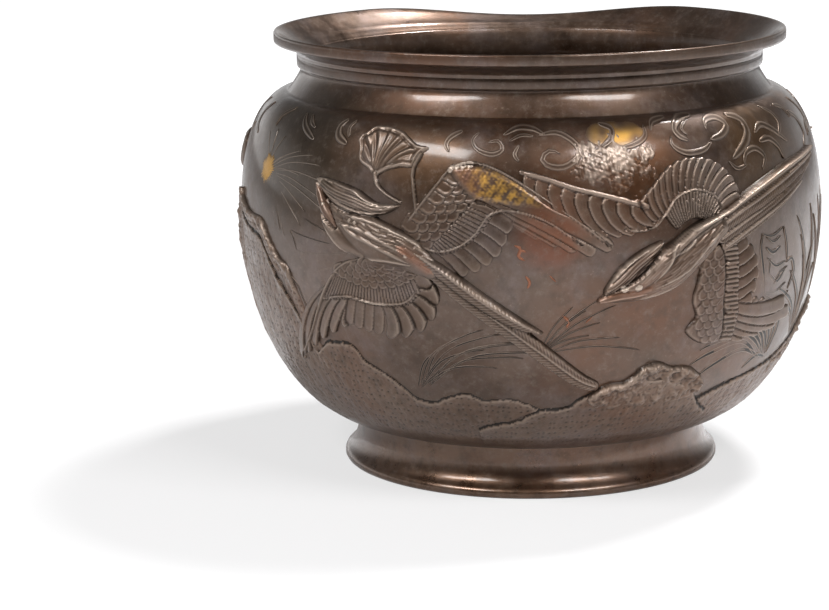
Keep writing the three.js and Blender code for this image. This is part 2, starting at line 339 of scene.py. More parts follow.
def diving_lowered_wing(p):
    """Long feathers at the left, broad ones at the right, a fine row over their roots and round scales."""
    p.row([(-104, 107), (-97, 108), (-88, 108), (-80, 107)],
          [(-138, 66), (-125, 74), (-111, 82), (-96, 89)], count=6, half=2.6, bend=-0.07, low=0.4, rise=1.3,
          step=0.4)
    p.row([(-88, 107), (-80, 107), (-73, 107)], [(-93, 90), (-84, 88), (-76, 87)], count=4, half=2.9,
          bend=0.04, low=0.15, rise=0.8)
    p.row([(-72, 107), (-68, 108), (-61, 110), (-56, 114)],
          [(-69, 85.5), (-58, 87.5), (-49.5, 92), (-43.5, 99.5), (-42, 107), (-45, 114)], count=6, half=4.3,
          bend=0.2, low=0.2, rise=2.2, step=0.4)
    p.row([(-99, 113), (-86, 114), (-72, 114), (-62, 115), (-56, 118)],
          [(-107, 101), (-91, 103), (-75, 101.5), (-59, 103), (-52, 109)], count=31, half=1.1, bend=0.02,
          low=0.7, rise=0.5)
    wrist = np.array([-76, 123])
    patch_across, patch_tall = 1.35, 0.62
    for reach, count in ((17, 12), (12.5, 10), (8, 7), (4, 5)):
        for turn in np.linspace(math.radians(214), math.radians(345), count):
            way = np.array([math.cos(turn) * patch_across, math.sin(turn) * patch_tall])
            p.scale(wrist + way * reach, way, size=5.2, low=0.9, rise=0.3)
    p.rim([(-84, 122.5), (-91, 120), (-98, 114.5), (-105.5, 105), (-112, 94.5), (-121, 82), (-137, 67)],
          half=0.7, stand=1.7, wear=0.25)
    p.rim([(-105, 102), (-91, 104.3), (-75, 102.6), (-60, 104.2), (-53, 110)], half=0.5, stand=1.6, wear=0.3)
    p.line([(-84, 103.4), (-75, 102.6), (-68, 102.9)], half=0.6, lift=0.1, wear=1.6)


def diving_raised_wing(p):
    """Long feathers to the right, a broad and a fine row, scales, and a gilt brow with silvered beads."""
    p.row([(-25, 158), (-21, 154), (-18, 150), (-14, 147.5)],
          [(38, 130.5), (31, 128.5), (20, 131), (6, 137)], count=5, half=3.4, bend=0.04, low=0.3, rise=1.3,
          back=True, step=0.6)
    p.row([(-52, 131), (-44, 130), (-36, 132), (-28, 138), (-20, 146)],
          [(-41, 118), (-30, 118.5), (-21, 122), (-13, 129), (-8, 140)], count=8, half=3.2, bend=0.09,
          low=0.2, rise=0.9, lean=-1, round_end=0.8, step=0.3)
    p.row([(-57, 139), (-48, 137.5), (-39, 139), (-32, 145), (-27, 151)],
          [(-47, 129.5), (-39, 128.5), (-30, 132), (-23, 138), (-16, 147)], count=19, half=1.5, bend=0.06,
          low=0.8, rise=0.5)
    scales(p, (-55, 141), (20, 22), (12, -7), rows=4, count=5, size=7.6, rise=0.35)
    p.rim([(-52, 131.5), (-42, 129.3), (-33, 131.5), (-25, 137.5), (-18, 146.5), (-8, 148.5), (8, 143.5),
           (24, 132.5)], half=0.45, stand=1.7, wear=0.2)
    brow = smooth_path([(-37, 165), (-31, 168), (-18, 167), (-4, 160), (8, 152), (12, 148), (0, 150),
                        (-14, 151.5), (-26, 154)], closed=True)
    k, depth = p.within(brow)
    beaten = speckle(p.arc[k], p.up[k], pitch=1.9, seed=2)
    cloud = speckle(p.arc[k], p.up[k], pitch=7, seed=4)
    share = np.clip(depth / 2, 0, 1)
    p.lift[k] = np.maximum(p.lift[k], 0.6) * (1 - share) + 1.5 * share + 0.07 * beaten
    p.wear[k] = PLAIN_WEAR
    fade = np.clip(depth / 2.5, 0, 1) * np.clip((10 - p.arc[k]) / 14, 0, 1)
    rubbed = np.clip(0.4 + 0.4 * beaten + 0.6 * cloud, 0, 1)
    p.gilt[k] = fade * rubbed * np.clip((p.arc[k] + 31) / 13, 0.12, 0.8)
    p.red[k] = 0.45 * fade * np.clip((-18 - p.arc[k]) / 8, 0, 1)
    p.rim([(-57, 142), (-47, 155), (-38, 166.5)], half=0.45, stand=1.1, wear=0.25)
    p.rim([(-38, 166.5), (-27, 169.5), (-14, 166), (-2, 159.5), (9, 152.5), (22, 143.5), (37, 131.5)],
          half=0.65, stand=1.9, wear=0.35)
    for place in ((-37.5, 166.4), (-34.5, 167.8), (-31.2, 168.2), (-28, 168.6)):
        p.bead(place, radius=1.7, lift=0.6)


# Narrow feathers: how long each is, and how far along each lane starts from the one beside it
FEATHER_LENGTH = 13
LANE_SHIFT = 0.37


def lancets(p, stations, pitch, rise, low, high):
    """Narrow feathers along a rounded mass, drawn as broken strands between two sides."""
    path = smooth_path(stations)
    where = p.near(path, path[:, 2].max())
    share, side, (half, _) = p.along(path, where)
    across = side / half
    held = (np.abs(across) < 0.95) & (p.lift[where] > -BURIED)
    on = (across > low) & (across < high) & held
    k = where[on]
    run = share[on] * np.hypot(*np.diff(path[:, :2], axis=0).T).sum()
    strand = (side[on] + 0.35 * np.sin(run * 0.3)) / pitch
    lane = np.floor(strand)
    along = (run / FEATHER_LENGTH + LANE_SHIFT * lane) % 1
    blade = np.abs(np.sin(strand * math.pi)) ** 0.7 * (1 - along**3)
    p.lift[k] += rise * (blade - 0.6)
    p.wear[k] += 0.12 * blade


def combed(p, stations, pitch):
    """A crest of fine parallel strands."""
    where, share, side, half, on = p.mound(stations, power=0.3)
    k = where[on]
    comb = np.cos((side[on] + 0.5 * np.sin(share[on] * 9)) * 2 * math.pi / pitch)
    groove = np.exp(-(((np.abs(side[on]) - half[on] * 0.5) / 0.6) ** 2))
    p.lift[k] += 0.34 * comb - 0.8 * groove
    p.wear[k] = 0.15 + 0.2 * comb


def diving_body(p):
    """Trunk, throat and neck in narrow feathers and raised lines, a ruddy face and a combed crest."""
    trunk = [(-97, 143, 6, 3), (-86, 138, 9, 4.4), (-72, 132, 10, 4.8), (-58, 128, 8.4, 4.8),
             (-45, 121, 5, 4.4)]
    p.mound(trunk)
    lancets(p, trunk, pitch=1.25, rise=0.5, low=-0.1, high=1.0)
    p.line([(-91, 140), (-84, 135), (-74, 131.5), (-64, 127.5), (-55, 124)], half=0.7, lift=0.7, wear=0.7)
    throat = [(-103, 147, 3, 4.5), (-98, 139, 5, 5), (-90, 131, 5, 4.5), (-80, 126, 3, 3)]
    p.mound(throat, keep=True)
    p.line([(-101, 138), (-92, 128), (-82, 123), (-68, 124), (-54, 123)], half=0.8, lift=0.8, wear=0.8)
    neck = [(-88, 143), (-74, 141), (-60, 136.5), (-48, 131.5)]
    p.line(neck, half=0.7, lift=0.8, wear=1.0)
    p.line([(-92, 139), (-80, 137), (-66, 132), (-52, 126)], half=0.5, lift=0.6, wear=0.9)
    p.line([(-60, 131), (-50, 125), (-43, 120)], half=2.2, lift=0.2, wear=0.3, red=0.8)
    face = [(-109, 156, 1.6, 2.6), (-105, 149, 2.6, 3.8), (-100, 143, 2.8, 4.6), (-94, 137, 1.4, 3.6)]
    where, _, _, _, on = p.mound(face)
    p.red[where[on]] = 0.25
    p.wear[where[on]] = 0
    p.line([(-109.5, 154), (-105.5, 146), (-98, 137.5)], half=0.5, lift=0.6, wear=1.2)
    p.line([(-107, 152), (-102, 145), (-96, 139)], half=0.4, lift=-0.5, wear=0)
    crest = [(-110, 157.5, 1.0, 2.4), (-103, 155, 3.2, 3.4), (-94, 151.5, 5.4, 3.8), (-85, 149, 5.6, 3.8),
             (-76, 147, 3.6, 3.4), (-69, 147, 2.4, 3.2), (-62, 149, 0.9, 2.6)]
    combed(p, crest, pitch=1.35)
    p.line([(-108, 158), (-97, 157.6), (-89, 157), (-83, 153), (-77, 149.5), (-69, 148.7), (-62, 149.8)],
           half=0.75, lift=1.0, wear=1.3)
    p.bead((-107.5, 156.5), radius=2.0, lift=0.2)
    p.line([(-108, 156), (-101, 151.5), (-90, 146.5), (-80, 144.5), (-70, 145)], half=0.55, lift=0.5,
           wear=0.8)
    for place in ((-102, 146.5), (-85.5, 140.8), (-82.5, 140), (-56, 127)):
        p.bead(place, radius=0.8, lift=0.3)


def plume(p, stations, split=0.0):
    """A long flat tail feather with a shaft ridge, a groove on each side of it and fine slanting barbs."""
    barb_pitch = 2.1
    where, share, side, half, on = p.mound(stations, power=0.22)
    k = where[on]
    s, a = side[on], np.abs(side[on]) / half[on]
    run = share[on] * np.hypot(stations[-1][0] - stations[0][0], stations[-1][1] - stations[0][1])
    shaft = np.exp(-(((s - split) / 0.4) ** 2))
    off_shaft = np.abs(s - split)
    groove = np.exp(-(((off_shaft - 1.1) / 0.45) ** 2))
    p.lift[k] += 0.35 * shaft - 0.35 * groove - 0.25 * (a < 0.75)
    barb = np.sin((run + off_shaft * 1.3) * 2 * math.pi / barb_pitch)
    p.lift[k] += 0.3 * barb * (a < 0.95) * (1 - shaft)
    p.wear[k] = 0.08 + 0.45 * shaft


def diving_tail(p):
    """Two plumes, the shorter over the longer."""
    plume(p, [(-48, 123, 3.4, 3.4), (-28, 108, 4.6, 3.6), (0, 86.5, 4.4, 3.2), (22, 69.5, 3.8, 2.6),
              (32.5, 64.2, 2.6, 1.8)], split=0.6)
    plume(p, [(-52, 128, 2, 4.6), (-40, 120.5, 3.2, 5), (-22, 107.5, 3.4, 4.6), (-8, 98.5, 2.8, 4),
              (6, 91.5, 0.8, 3)], split=0.8)


def stooping_raised_wing(p):
    """Feathers up to an edge at the left, and a fan of others over the shoulder at the right."""
    p.row([(14, 145), (26, 140), (38, 136.5), (50, 137), (60, 141)],
          [(-1, 165.5), (11, 161.5), (24, 157.3), (36, 154.6), (48, 151.4)], count=9, half=4.0, bend=0.12,
          low=0.2, rise=1.6, step=0.5)
    p.rim([(-4, 165.5), (9, 162), (21, 158), (33, 155), (45, 151.5), (54, 148.5)], half=1.3, stand=2.2,
          wear=0.35)
    p.row([(60, 142), (66, 146), (72, 149), (81, 150), (89, 148), (93, 143)],
          [(54, 154), (61, 160), (70, 166.5), (81, 168.5), (93, 166.5), (101, 161), (106, 154), (107, 148)],
          count=15, half=3.0, bend=0.08, low=0.5, rise=1.9, step=0.4)
    p.row([(70, 137), (74, 140), (79, 141), (84, 140), (86, 136)],
          [(64, 145), (69, 151), (80, 154), (90, 151), (94, 144)], count=21, half=1.0, bend=0.02, low=1.6,
          rise=0.8)
    p.rim([(44, 139), (52, 137.5), (59, 139.5), (65, 146), (70, 151.5), (80, 154), (90, 151), (94, 145)],
          half=0.6, stand=2.4, wear=0.4)


def stooping_lowered_wing(p):
    """Feathers down the right edge, longer ones at the foot, a fine row and a patch of scales."""
    p.row([(101, 124), (102, 116), (103, 108), (104, 100), (105, 93), (104, 86)],
          [(111, 129), (117.5, 122), (120, 114), (119, 106), (118, 100), (129, 97)], count=8, half=3.4,
          bend=-0.14, low=0.2, rise=1.9, lean=-1, step=0.4)
    p.row([(104, 97), (105, 92), (105, 87), (103, 84)], [(148, 93.5), (157, 89), (146, 84.5), (118, 81.5)],
          count=5, half=3.4, bend=-0.06, low=0.5, rise=1.9, lean=-1, back=True, step=0.5)
    p.row([(94, 127), (95, 116), (95, 104), (96, 92), (96, 82)],
          [(103.5, 127), (105, 116), (106, 104), (108, 92), (107, 81)], count=22, half=1.15, bend=0.0,
          low=1.5, rise=0.7)
    patch = smooth_path([(84, 124), (93, 128), (97, 118), (98, 100), (100, 83), (93, 80), (85, 82),
                         (77.5, 88), (82, 95), (79, 103), (81, 112)], closed=True)
    k, depth = p.within(patch)
    p.ground[k] = 1.5 * np.clip(depth / 1.2, 0, 1) ** 0.5
    p.lift[k] = p.ground[k]
    p.wear[k] = PLAIN_WEAR
    for row, up in enumerate(np.arange(84, 125, 3.6)):
        for arc in (84, 89, 94):
            place = np.array([arc + 2.5 * (row % 2), up])
            if p.inside(patch, p.near([place], 0.4)).max(initial=-1) > 1.8:
                p.scale(place, (-1.4, -1), size=5.4, low=0.1, rise=0.6)
    p.ground[k] = 0


def stooping_body(p):
    """Trunk and neck in narrow feathers and raised lines, a ruddy face and a combed crest."""
    trunk = [(40, 109, 4, 3.4), (52, 113, 7.4, 5), (66, 119, 9, 5.4), (80, 128, 7.6, 5), (92, 136, 5.4, 5)]
    p.mound(trunk)
    lancets(p, trunk, pitch=1.25, rise=0.45, low=-0.8, high=1.0)
    neck = [(46, 112, 4, 6), (54, 119, 6, 7.4), (62, 125, 5, 7), (69, 130, 3, 6), (80, 137, 2.6, 6),
            (96, 143, 1.4, 5)]
    p.mound(neck, keep=True)
    lancets(p, neck, pitch=1.2, rise=0.45, low=-0.5, high=1.0)
    p.line([(56, 115), (63, 122), (66, 130), (74, 136), (86, 139.5), (100, 144)], half=0.7, lift=0.9,
           wear=1.1)
    p.line([(48, 107), (62, 109), (76, 114), (88, 123)], half=0.8, lift=0.6, wear=0.7)
    p.line([(60, 113), (72, 118), (82, 127), (92, 136)], half=0.5, lift=0.6, wear=0.9)
    p.line([(64, 126), (72, 128), (80, 134), (94, 141)], half=0.5, lift=0.6, wear=1.0)
    face = [(31.5, 106.5, 1.2, 2.6), (38, 108.5, 3, 4.2), (46, 110.5, 4.2, 5.4), (54, 112, 3, 5.4)]
    where, _, side, _, on = p.mound(face, keep=True)
    p.red[where[on]] = 0.35 * (np.abs(side[on]) < 1.4)
    p.line([(34, 108.6), (42, 111), (50, 112)], half=0.5, lift=-0.5, wear=0)
    p.line([(32, 106.3), (42, 108.5), (53, 109.5)], half=0.45, lift=0.6, wear=1.0, red=0.6)
    crest = [(35, 111, 1.6, 3.4), (42, 117, 4.0, 4.6), (50, 123.5, 4.4, 5), (57, 129, 2.8, 4.6),
             (62, 132.5, 1.0, 3.4)]
    combed(p, crest, pitch=1.35)
    p.line([(34, 112), (39, 118.5), (45, 124), (52, 128.5), (60, 132)], half=0.6, lift=0.7, wear=1.0)
    for place, radius in (((42.5, 112.6), 1.5), ((48.5, 113.2), 1.6)):
        p.bead(place, radius, lift=0.7)


def stooping_tail(p):
    """Four plumes side by side."""
    plume(p, [(96, 127, 2.4, 3), (112, 134, 3.2, 3.6), (138, 143.5, 2.8, 4), (158, 149, 1.4, 2.6)])
    plume(p, [(93, 131, 3.0, 3.4), (112, 139, 4.0, 3.8), (142, 149, 3.8, 4.0), (170, 155.5, 2, 2.8)])
    plume(p, [(90, 135, 3.4, 3.8), (110, 143.5, 4.6, 4.4), (142, 153, 4.4, 4.6), (176, 159.5, 2.8, 3.4)],
          split=0.5)
    plume(p, [(96, 142, 1.8, 4.2), (114, 149.5, 2.0, 4.8), (142, 157, 2.0, 5.0), (181, 162, 1.2, 3.6)])


# Leaf, rocks and inlays


def shaped(p, outline, lift, edge=1.0):
    """A plate with rounded edges. Returns the points in it and their depth from its edge."""
    k, depth = p.within(smooth_path(outline, closed=True))
    p.lift[k] = lift * np.clip(depth / edge, 0, 1) ** 0.5
    p.wear[k] = PLAIN_WEAR
    return k, depth


def fan_leaf(p):
    """A leaf with spreading veins and a border, on two stems."""
    outline = [(-88, 173), (-90, 176), (-88.5, 179), (-86, 180), (-83, 182.5), (-77, 183), (-71, 182.5),
               (-65, 181), (-60, 178.3), (-56, 176.3), (-49, 175), (-54, 171.5), (-56.5, 166.5), (-63, 166),
               (-70, 164.2), (-76, 161.5), (-81, 164.5), (-84.5, 166), (-87, 168.5)]
    k, depth = shaped(p, outline, lift=1.3)
    stem_arc, stem_up = -76, 161.5
    x, y = p.arc[k] - stem_arc, p.up[k] - stem_up
    turn = np.arctan2(y, x)
    out = np.hypot(x, y)
    vein = np.sin(turn * 23 + 2.2 * np.sin(out * 0.22 + turn * 3)) * np.abs(np.sin(turn * 9 + out * 0.1))
    fading = np.clip(depth / 3, 0, 1) * np.clip(out / 8, 0, 1)
    border = np.exp(-(((depth - 2.2) / 0.5) ** 2))
    p.lift[k] += 0.4 * vein * fading - 0.5 * border - 0.25 * np.clip(depth / 6, 0, 1)
    # The border is painted lighter: wear, and partly a painted highlight
    p.wear[k] = 0.1 + 0.12 * vein * fading + 0.3 * (depth < 1.6)
    left_stem = [(-76, 162.5, 1.3, 1.4), (-74, 157.5, 1.1, 1.6), (-68, 153.5, 1.0, 1.6),
                 (-61, 150.5, 0.9, 1.4)]
    right_stem = [(-53, 172, 0.9, 1.4), (-56, 165, 1.0, 1.6), (-54.5, 156, 1.0, 1.6), (-52.5, 146, 0.9, 1.4)]
    for stem in (left_stem, right_stem):
        p.mound(stem, keep=True)


def pitted(x, y, seed):
    """Small punched dots, one at a jittered place in most cells of a grid."""
    pitch, kept_above = 3.1, 0.3
    i, j = np.floor(x / pitch), np.floor(y / pitch)
    chance = [np.modf(np.abs(np.sin(i * 12.99 + j * 78.23 + seed + k) * 43758.5))[0] for k in range(3)]
    beside = x / pitch - i - 0.3 - 0.4 * chance[0]
    above = (y / pitch - j - 0.3 - 0.4 * chance[1]) * 1.6
    return np.clip(1.4 - np.hypot(beside, above) / 0.2, 0, 1) * (chance[2] > kept_above)


def rock(outline, tall, seed, spread=5.0, edge_above=0.3, knob=0.5, proud_above=0.12):
    """A crag whose upper edge stands proud and whose face runs back into the ground."""
    top = max(up for _, up in outline)
    foot = min(up for _, up in outline)

    def chase(p):
        k, depth = shaped(p, outline, lift=1.0, edge=1.6)
        rise = np.clip((p.up[k] - foot) / (top - foot), 0, 1)
        knobs = speckle(p.arc[k], p.up[k], pitch=8, seed=seed)
        standing = tall * np.exp(-((depth / spread) ** 1.2)) * np.clip((rise - proud_above) * 4, 0, 1)
        fine = speckle(p.arc[k], p.up[k], pitch=3.4, seed=seed + 5)
        crag = standing * (1 + 0.3 * knobs + 0.15 * fine) + knob * knobs + 0.3 * knob * fine + 0.5
        p.lift[k] = p.lift[k] * crag
        p.lift[k] -= 0.5 * pitted(p.arc[k], p.up[k], seed + 1)
        sunk = np.clip((depth - spread * 2) / spread, 0, 1)
        p.lift[k] -= 1.2 * sunk + 1.4 * np.clip((0.2 - rise) * 5, 0, 1)
        # The thin band along the upper edge is painted lighter: wear, and partly a painted highlight
        p.wear[k] = np.clip(0.08 + 0.1 * knobs + 0.35 * (depth < 1.1) * (rise > edge_above), 0, 1)

    return chase


LEFT_ROCK = [(-198, 139), (-190, 139), (-178, 135), (-168, 133.5), (-158, 133), (-150, 125), (-141, 117),
             (-133, 113), (-128, 104), (-124, 96), (-121, 86), (-117, 76), (-113, 68), (-118, 60),
             (-132, 54), (-150, 50), (-176, 50), (-200, 62)]
MIDDLE_ROCK = [(29, 57), (34, 62), (40, 64.5), (48, 65), (53, 68), (58, 72.5), (66, 74), (74, 71), (84, 70),
               (91, 66), (95, 63), (97, 57), (90, 53), (78, 50), (60, 48), (40, 50)]
RIGHT_ROCK = [(160, 60), (170, 62), (178, 68), (186, 74), (194, 79.5), (204, 82.5), (214, 84), (224, 81),
              (229, 75), (232, 62), (216, 50), (188, 46), (166, 50)]
# Upper edges of three banks of ground, the last in front, as (arc, height) from left to right
GROUND_EDGES = [
    [(-239, 24), (-231, 46), (-222, 82), (-210, 113), (-196, 130), (-176, 126), (-158, 122), (-146, 108),
     (-136, 98), (-128, 88), (-122, 74), (-118, 74), (-111, 78.5), (-104, 79.5), (-93, 79), (-87, 72),
     (-76, 67), (-68, 61), (-62, 56), (-53, 54), (-44, 57), (-33, 60), (-23, 57), (-10, 58), (2, 54),
     (12, 46)],
    [(52, 44), (61, 47), (78, 50.5), (99, 51), (114, 55), (136, 58.5), (155, 61.5), (178, 69), (196, 78),
     (214, 81), (228, 74), (240, 60)],
    [(-30, 40), (-21, 43), (-7, 46), (5, 51.5), (18, 52.5), (26, 57), (32, 60), (39, 62), (53, 61),
     (63, 66), (80, 62), (92, 56), (100, 48), (112, 42)],
]
GROUND_FOOT = 27
GROUND_TOP = 132
FRONT_GROUND_CELL = 0.62
REAR_GROUND_CELL = 0.95


def ground(p):
    """Banks of earth that overlap towards the foot, each edged with a flat dark line painted as the shade of
    a cut, and a face punched with dots.
    """
    painted_cut_width, foot_fade = 1.0, 8
    for i, edge in enumerate(GROUND_EDGES):
        path = smooth_path(edge)
        depth = np.interp(p.arc, path[:, 0], path[:, 1], left=-FAR, right=-FAR) - p.up
        depth = depth + 0.5 * speckle(p.arc, p.up, pitch=6, seed=40 + i)
        # A thin strip along each edge, set almost flat on the wall, is painted dark as the shade of a cut; it
        # is not cut
        cut = (depth > -painted_cut_width) & (depth <= 0) & (p.up > GROUND_FOOT)
        p.lift[cut] = 0.05
        p.patina_and_painted_shade[cut] = 1
        on = (depth > 0) & (p.up > GROUND_FOOT)
        lip = np.exp(-depth[on] / 3.5)
        p.lift[on] = 0.3 + 0.1 * i + 0.9 * lip * np.clip(depth[on] / 0.5, 0, 1)
        p.patina_and_painted_shade[on] = 0
        p.wear[on] = 0.04 + 0.12 * lip
    on = p.lift > 0.06
    arc, up = p.arc[on], p.up[on]
    dots = pitted(arc, up, 33)
    broad = 0.14 * speckle(arc, up, pitch=9, seed=31)
    fine = 0.06 * speckle(arc, up, pitch=3, seed=35)
    p.lift[on] += broad + fine - 0.3 * dots
    p.lift[on] -= 0.8 * np.clip((GROUND_FOOT + foot_fade - up) / foot_fade, 0, 1)
    # The punched dots are painted dark: patina, and painted shade in each pit
    p.patina_and_painted_shade[on] = 0.7 * dots


def rough_cloud(p):
    """Beaten cloud under the scrolls, its high spots rubbed bright and its top painted lighter as a
    highlight.
    """
    middle_arc, middle_up, half_across, half_tall = 40, 167.5, 25, 13
    x, y = (p.arc - middle_arc) / half_across, (p.up - middle_up) / half_tall
    beaten = 0.4 * speckle(p.arc, p.up, pitch=3.3, seed=61) + 0.5 * speckle(p.arc, p.up, pitch=6.5, seed=62)
    beaten += 0.5 * speckle(p.arc, p.up, pitch=13, seed=63)
    beaten += 1.1 - 1.5 * (x**2 + y**2)
    on = beaten > 0
    fine = 0.16 * speckle(p.arc[on], p.up[on], pitch=2.4, seed=64)
    p.lift[on] = 0.05 + 0.3 * np.tanh(1.5 * beaten[on]) + fine
    # Wear on the high spots, plus a painted highlight that grows towards the top
    p.wear[on] = np.clip(0.9 * (beaten[on] - 0.5) + 0.9 * np.clip((p.up[on] - 167) / 5, 0, 1), 0, 1.3)


SIDE_LEAF = [(-236, 149), (-239, 156), (-237, 163), (-231, 167), (-224, 165), (-220, 160), (-222, 153),
             (-229, 147)]


def side_leaf(p):
    """A small leaf with veins that spread from its stem."""
    k, depth = shaped(p, SIDE_LEAF, lift=1.8, edge=2.5)
    stem_arc, stem_up = -229, 148
    x, y = p.arc[k] - stem_arc, p.up[k] - stem_up
    vein = np.sin(np.arctan2(y, x) * 26)
    p.lift[k] += 0.3 * vein * np.clip(depth / 3, 0, 1)


def gold_blossom(p):
    """A gilt burst of fine rays round a raised middle."""
    middle_arc, middle_up = -156, 156.5
    x, y = p.arc - middle_arc, p.up - middle_up
    out, turn = np.hypot(x, y), np.arctan2(y, x)
    ray = 0.5 + 0.5 * np.cos(turn * 31 + 1.3 * np.sin(turn * 4))
    reach = 6 + 3.4 * ray + 0.8 * np.sin(turn * 7 + 1)
    on = out < reach
    p.lift[on] = (0.04 + 0.3 * np.exp(-((out / 4) ** 2)) + 0.14 * ray * np.clip(out / 4, 0, 1))[on]
    p.gilt[on] = np.clip(2.4 * (1 - out / reach), 0, 1)[on] * (0.75 + 0.25 * ray[on])


def gold_cloud(p):
    """A thin gilt cloud, rubbed away in places."""
    outline = [(28, 181), (32, 185), (42, 186), (54, 185.6), (60, 181), (56, 176), (46, 173.5), (38, 175),
               (30, 177)]
    k, depth = shaped(p, outline, lift=0.2, edge=3)
    rub = speckle(p.arc[k], p.up[k], pitch=11, seed=5)
    p.lift[k] += 0.02 * rub - 0.1
    p.gilt[k] = np.clip(depth / 6, 0, 1) * np.clip(0.55 + 0.5 * rub, 0, 0.85)
    p.wear[k] = 0.15


# Making the pieces


def finish_piece(name, mesh, material, replaces_node):
    """Put a mesh in the scene, on the pot's one body, in place of the node of its name if it has one."""
    piece = bpy.data.objects.new(name, mesh)
    bpy.context.scene.collection.objects.link(piece)
    mesh.materials.append(material)
    mesh.shade_smooth()
    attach(piece, "root")
    if replaces_node:
        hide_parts(name)


def mesh_of(name, bm):
    mesh = bpy.data.meshes.new(name)
    bm.to_mesh(mesh)
    bm.free()
    return mesh


def closed_slab(name, bm, copy_height, rear):
    """A flat sheet closed with a copy at another height. The rear is mirrored, so its faces turn over."""
    sheet = bm.verts[:] + bm.edges[:] + bm.faces[:]
    copied = bmesh.ops.extrude_face_region(bm, geom=sheet, use_keep_orig=True)
    for v in (g for g in copied["geom"] if isinstance(g, bmesh.types.BMVert)):
        v.co.z = copy_height
    bmesh.ops.recalc_face_normals(bm, faces=bm.faces)
    if rear:
        bmesh.ops.reverse_faces(bm, faces=bm.faces)
    return mesh_of(name, bm)


def places_of(mesh):
    flat = np.empty(len(mesh.vertices) * 3, np.float32)
    mesh.vertices.foreach_get("co", flat)
    return flat.reshape(-1, 3).astype(float)


def move_to(mesh, places):
    mesh.vertices.foreach_set("co", places.astype(np.float32).ravel())


def blurred(grid, reach):
    """The mean over a square that reaches some cells to each side."""
    for axis in (0, 1):
        padded = np.pad(grid, [(reach + 1, reach) if a == axis else (0, 0) for a in (0, 1)], mode="edge")
        total = np.cumsum(padded, axis=axis)
        many = total.shape[axis] - 2 * reach - 1
        ahead = np.take(total, np.arange(many) + 2 * reach + 1, axis=axis)
        grid = (ahead - np.take(total, np.arange(many), axis=axis)) / (2 * reach + 1)
    return grid


# How the edge of a chased piece runs down into the wall
EDGE_SHARE = 0.45
EDGE_SLOPE = 8
EDGE_DEPTH = 0.5
# How ridges wear lighter and hollows get dark patina and painted shade, by what stands over the mean of a few
# cells and of more
FEW_CELLS, FEW_WEIGHT = 2, 0.9
MORE_CELLS, MORE_WEIGHT = 6, 0.25
MOST_WEAR = 0.5
HOLLOW_SHADE_GAIN, MOST_HOLLOW_SHADE = 1.6, 0.9


def chased_piece(name, box, chase, material, rear=False, cell=CELL, replaces_node=True):
    """A slab of wall grid, trimmed to what the chasing lifts, closed behind and wrapped on the wall."""
    low_arc, high_arc, low_up, high_up = box
    across, tall = int((high_arc - low_arc) / cell), int((high_up - low_up) / cell)
    arc, up = np.meshgrid(np.linspace(low_arc, high_arc, across + 1), np.linspace(low_up, high_up, tall + 1))
    p = Chasing(arc.ravel(), up.ravel())
    chase(p)
    bare = p.lift <= -BURIED + TINY
    outside = blurred(bare.reshape(arc.shape).astype(float), FEW_CELLS).ravel()
    p.lift = np.where(outside > 0, np.minimum(p.lift, (EDGE_SHARE - outside) * EDGE_SLOPE), p.lift)
    proud = np.maximum(p.lift, 0).reshape(arc.shape)
    fine, broad = proud - blurred(proud, FEW_CELLS), proud - blurred(proud, MORE_CELLS)
    ridge = (fine * FEW_WEIGHT + broad * MORE_WEIGHT).ravel()
    p.wear += np.clip(ridge, 0, MOST_WEAR)
    # Hollows are painted dark: patina, and painted shade where the hollow's shadow falls
    p.patina_and_painted_shade += np.clip(-HOLLOW_SHADE_GAIN * ridge, 0, MOST_HOLLOW_SHADE)
    bm = bmesh.new()
    bmesh.ops.create_grid(bm, x_segments=across, y_segments=tall, size=0.5)
    for v in bm.verts:
        v.co = (round((v.co.x + 0.5) * across), round((v.co.y + 0.5) * tall), 0)
    empty = [f for f in bm.faces if all(bare[int(v.co.y) * (across + 1) + int(v.co.x)] for v in f.verts)]
    bmesh.ops.delete(bm, geom=empty, context="FACES")
    mesh = closed_slab(name, bm, copy_height=1, rear=rear)
    co = places_of(mesh)
    front = co[:, 2] > 0.5
    at = np.rint(co[:, 1]).astype(int) * (across + 1) + np.rint(co[:, 0]).astype(int)
    lift = np.where(front, np.maximum(p.lift[at], -EDGE_DEPTH), -BURIED)
    spot = REAR_ARC - p.arc[at] if rear else p.arc[at]
    move_to(mesh, on_wall(spot, p.up[at], lift))
    for mark in MARKS:
        values = np.where(front, np.clip(getattr(p, mark)[at], 0, MOST_MARKED), 0)
        mesh.attributes.new(mark, "FLOAT", "POINT").data.foreach_set("value", values.astype(np.float32))
    finish_piece(name, mesh, material, replaces_node)


def turned_piece(name, profile, material, steps, shift=None):
    """A ring or shell spun from a closed profile of (radius, height) points in millimetres."""
    bm = bmesh.new()
    verts = [bm.verts.new((r * MM, 0, z * MM)) for r, z in profile]
    edges = [bm.edges.new((a, b)) for a, b in zip(verts, verts[1:] + verts[:1])]
    bmesh.ops.spin(bm, geom=verts + edges, cent=(0, 0, 0), axis=(0, 0, 1), angle=2 * math.pi, steps=steps,
                   use_merge=True)
    bmesh.ops.remove_doubles(bm, verts=bm.verts, dist=TINY)
    bmesh.ops.recalc_face_normals(bm, faces=bm.faces)
    mesh = mesh_of(name, bm)
    if shift is not None:
        move_to(mesh, shift(places_of(mesh)))
    finish_piece(name, mesh, material, replaces_node=True)


# Finishes


def link(tree, a, a_name, b, b_name):
    tree.links.new(a.outputs[a_name], b.inputs[b_name])


def ranged(tree, source, out, low, high, to_low, to_high):
    """A value between two limits, spread between two others."""
    node = tree.nodes.new("ShaderNodeMapRange")
    for key, value in (("From Min", low), ("From Max", high), ("To Min", to_low), ("To Max", to_high)):
        node.inputs[key].default_value = value
    link(tree, source, out, node, "Value")
    return node


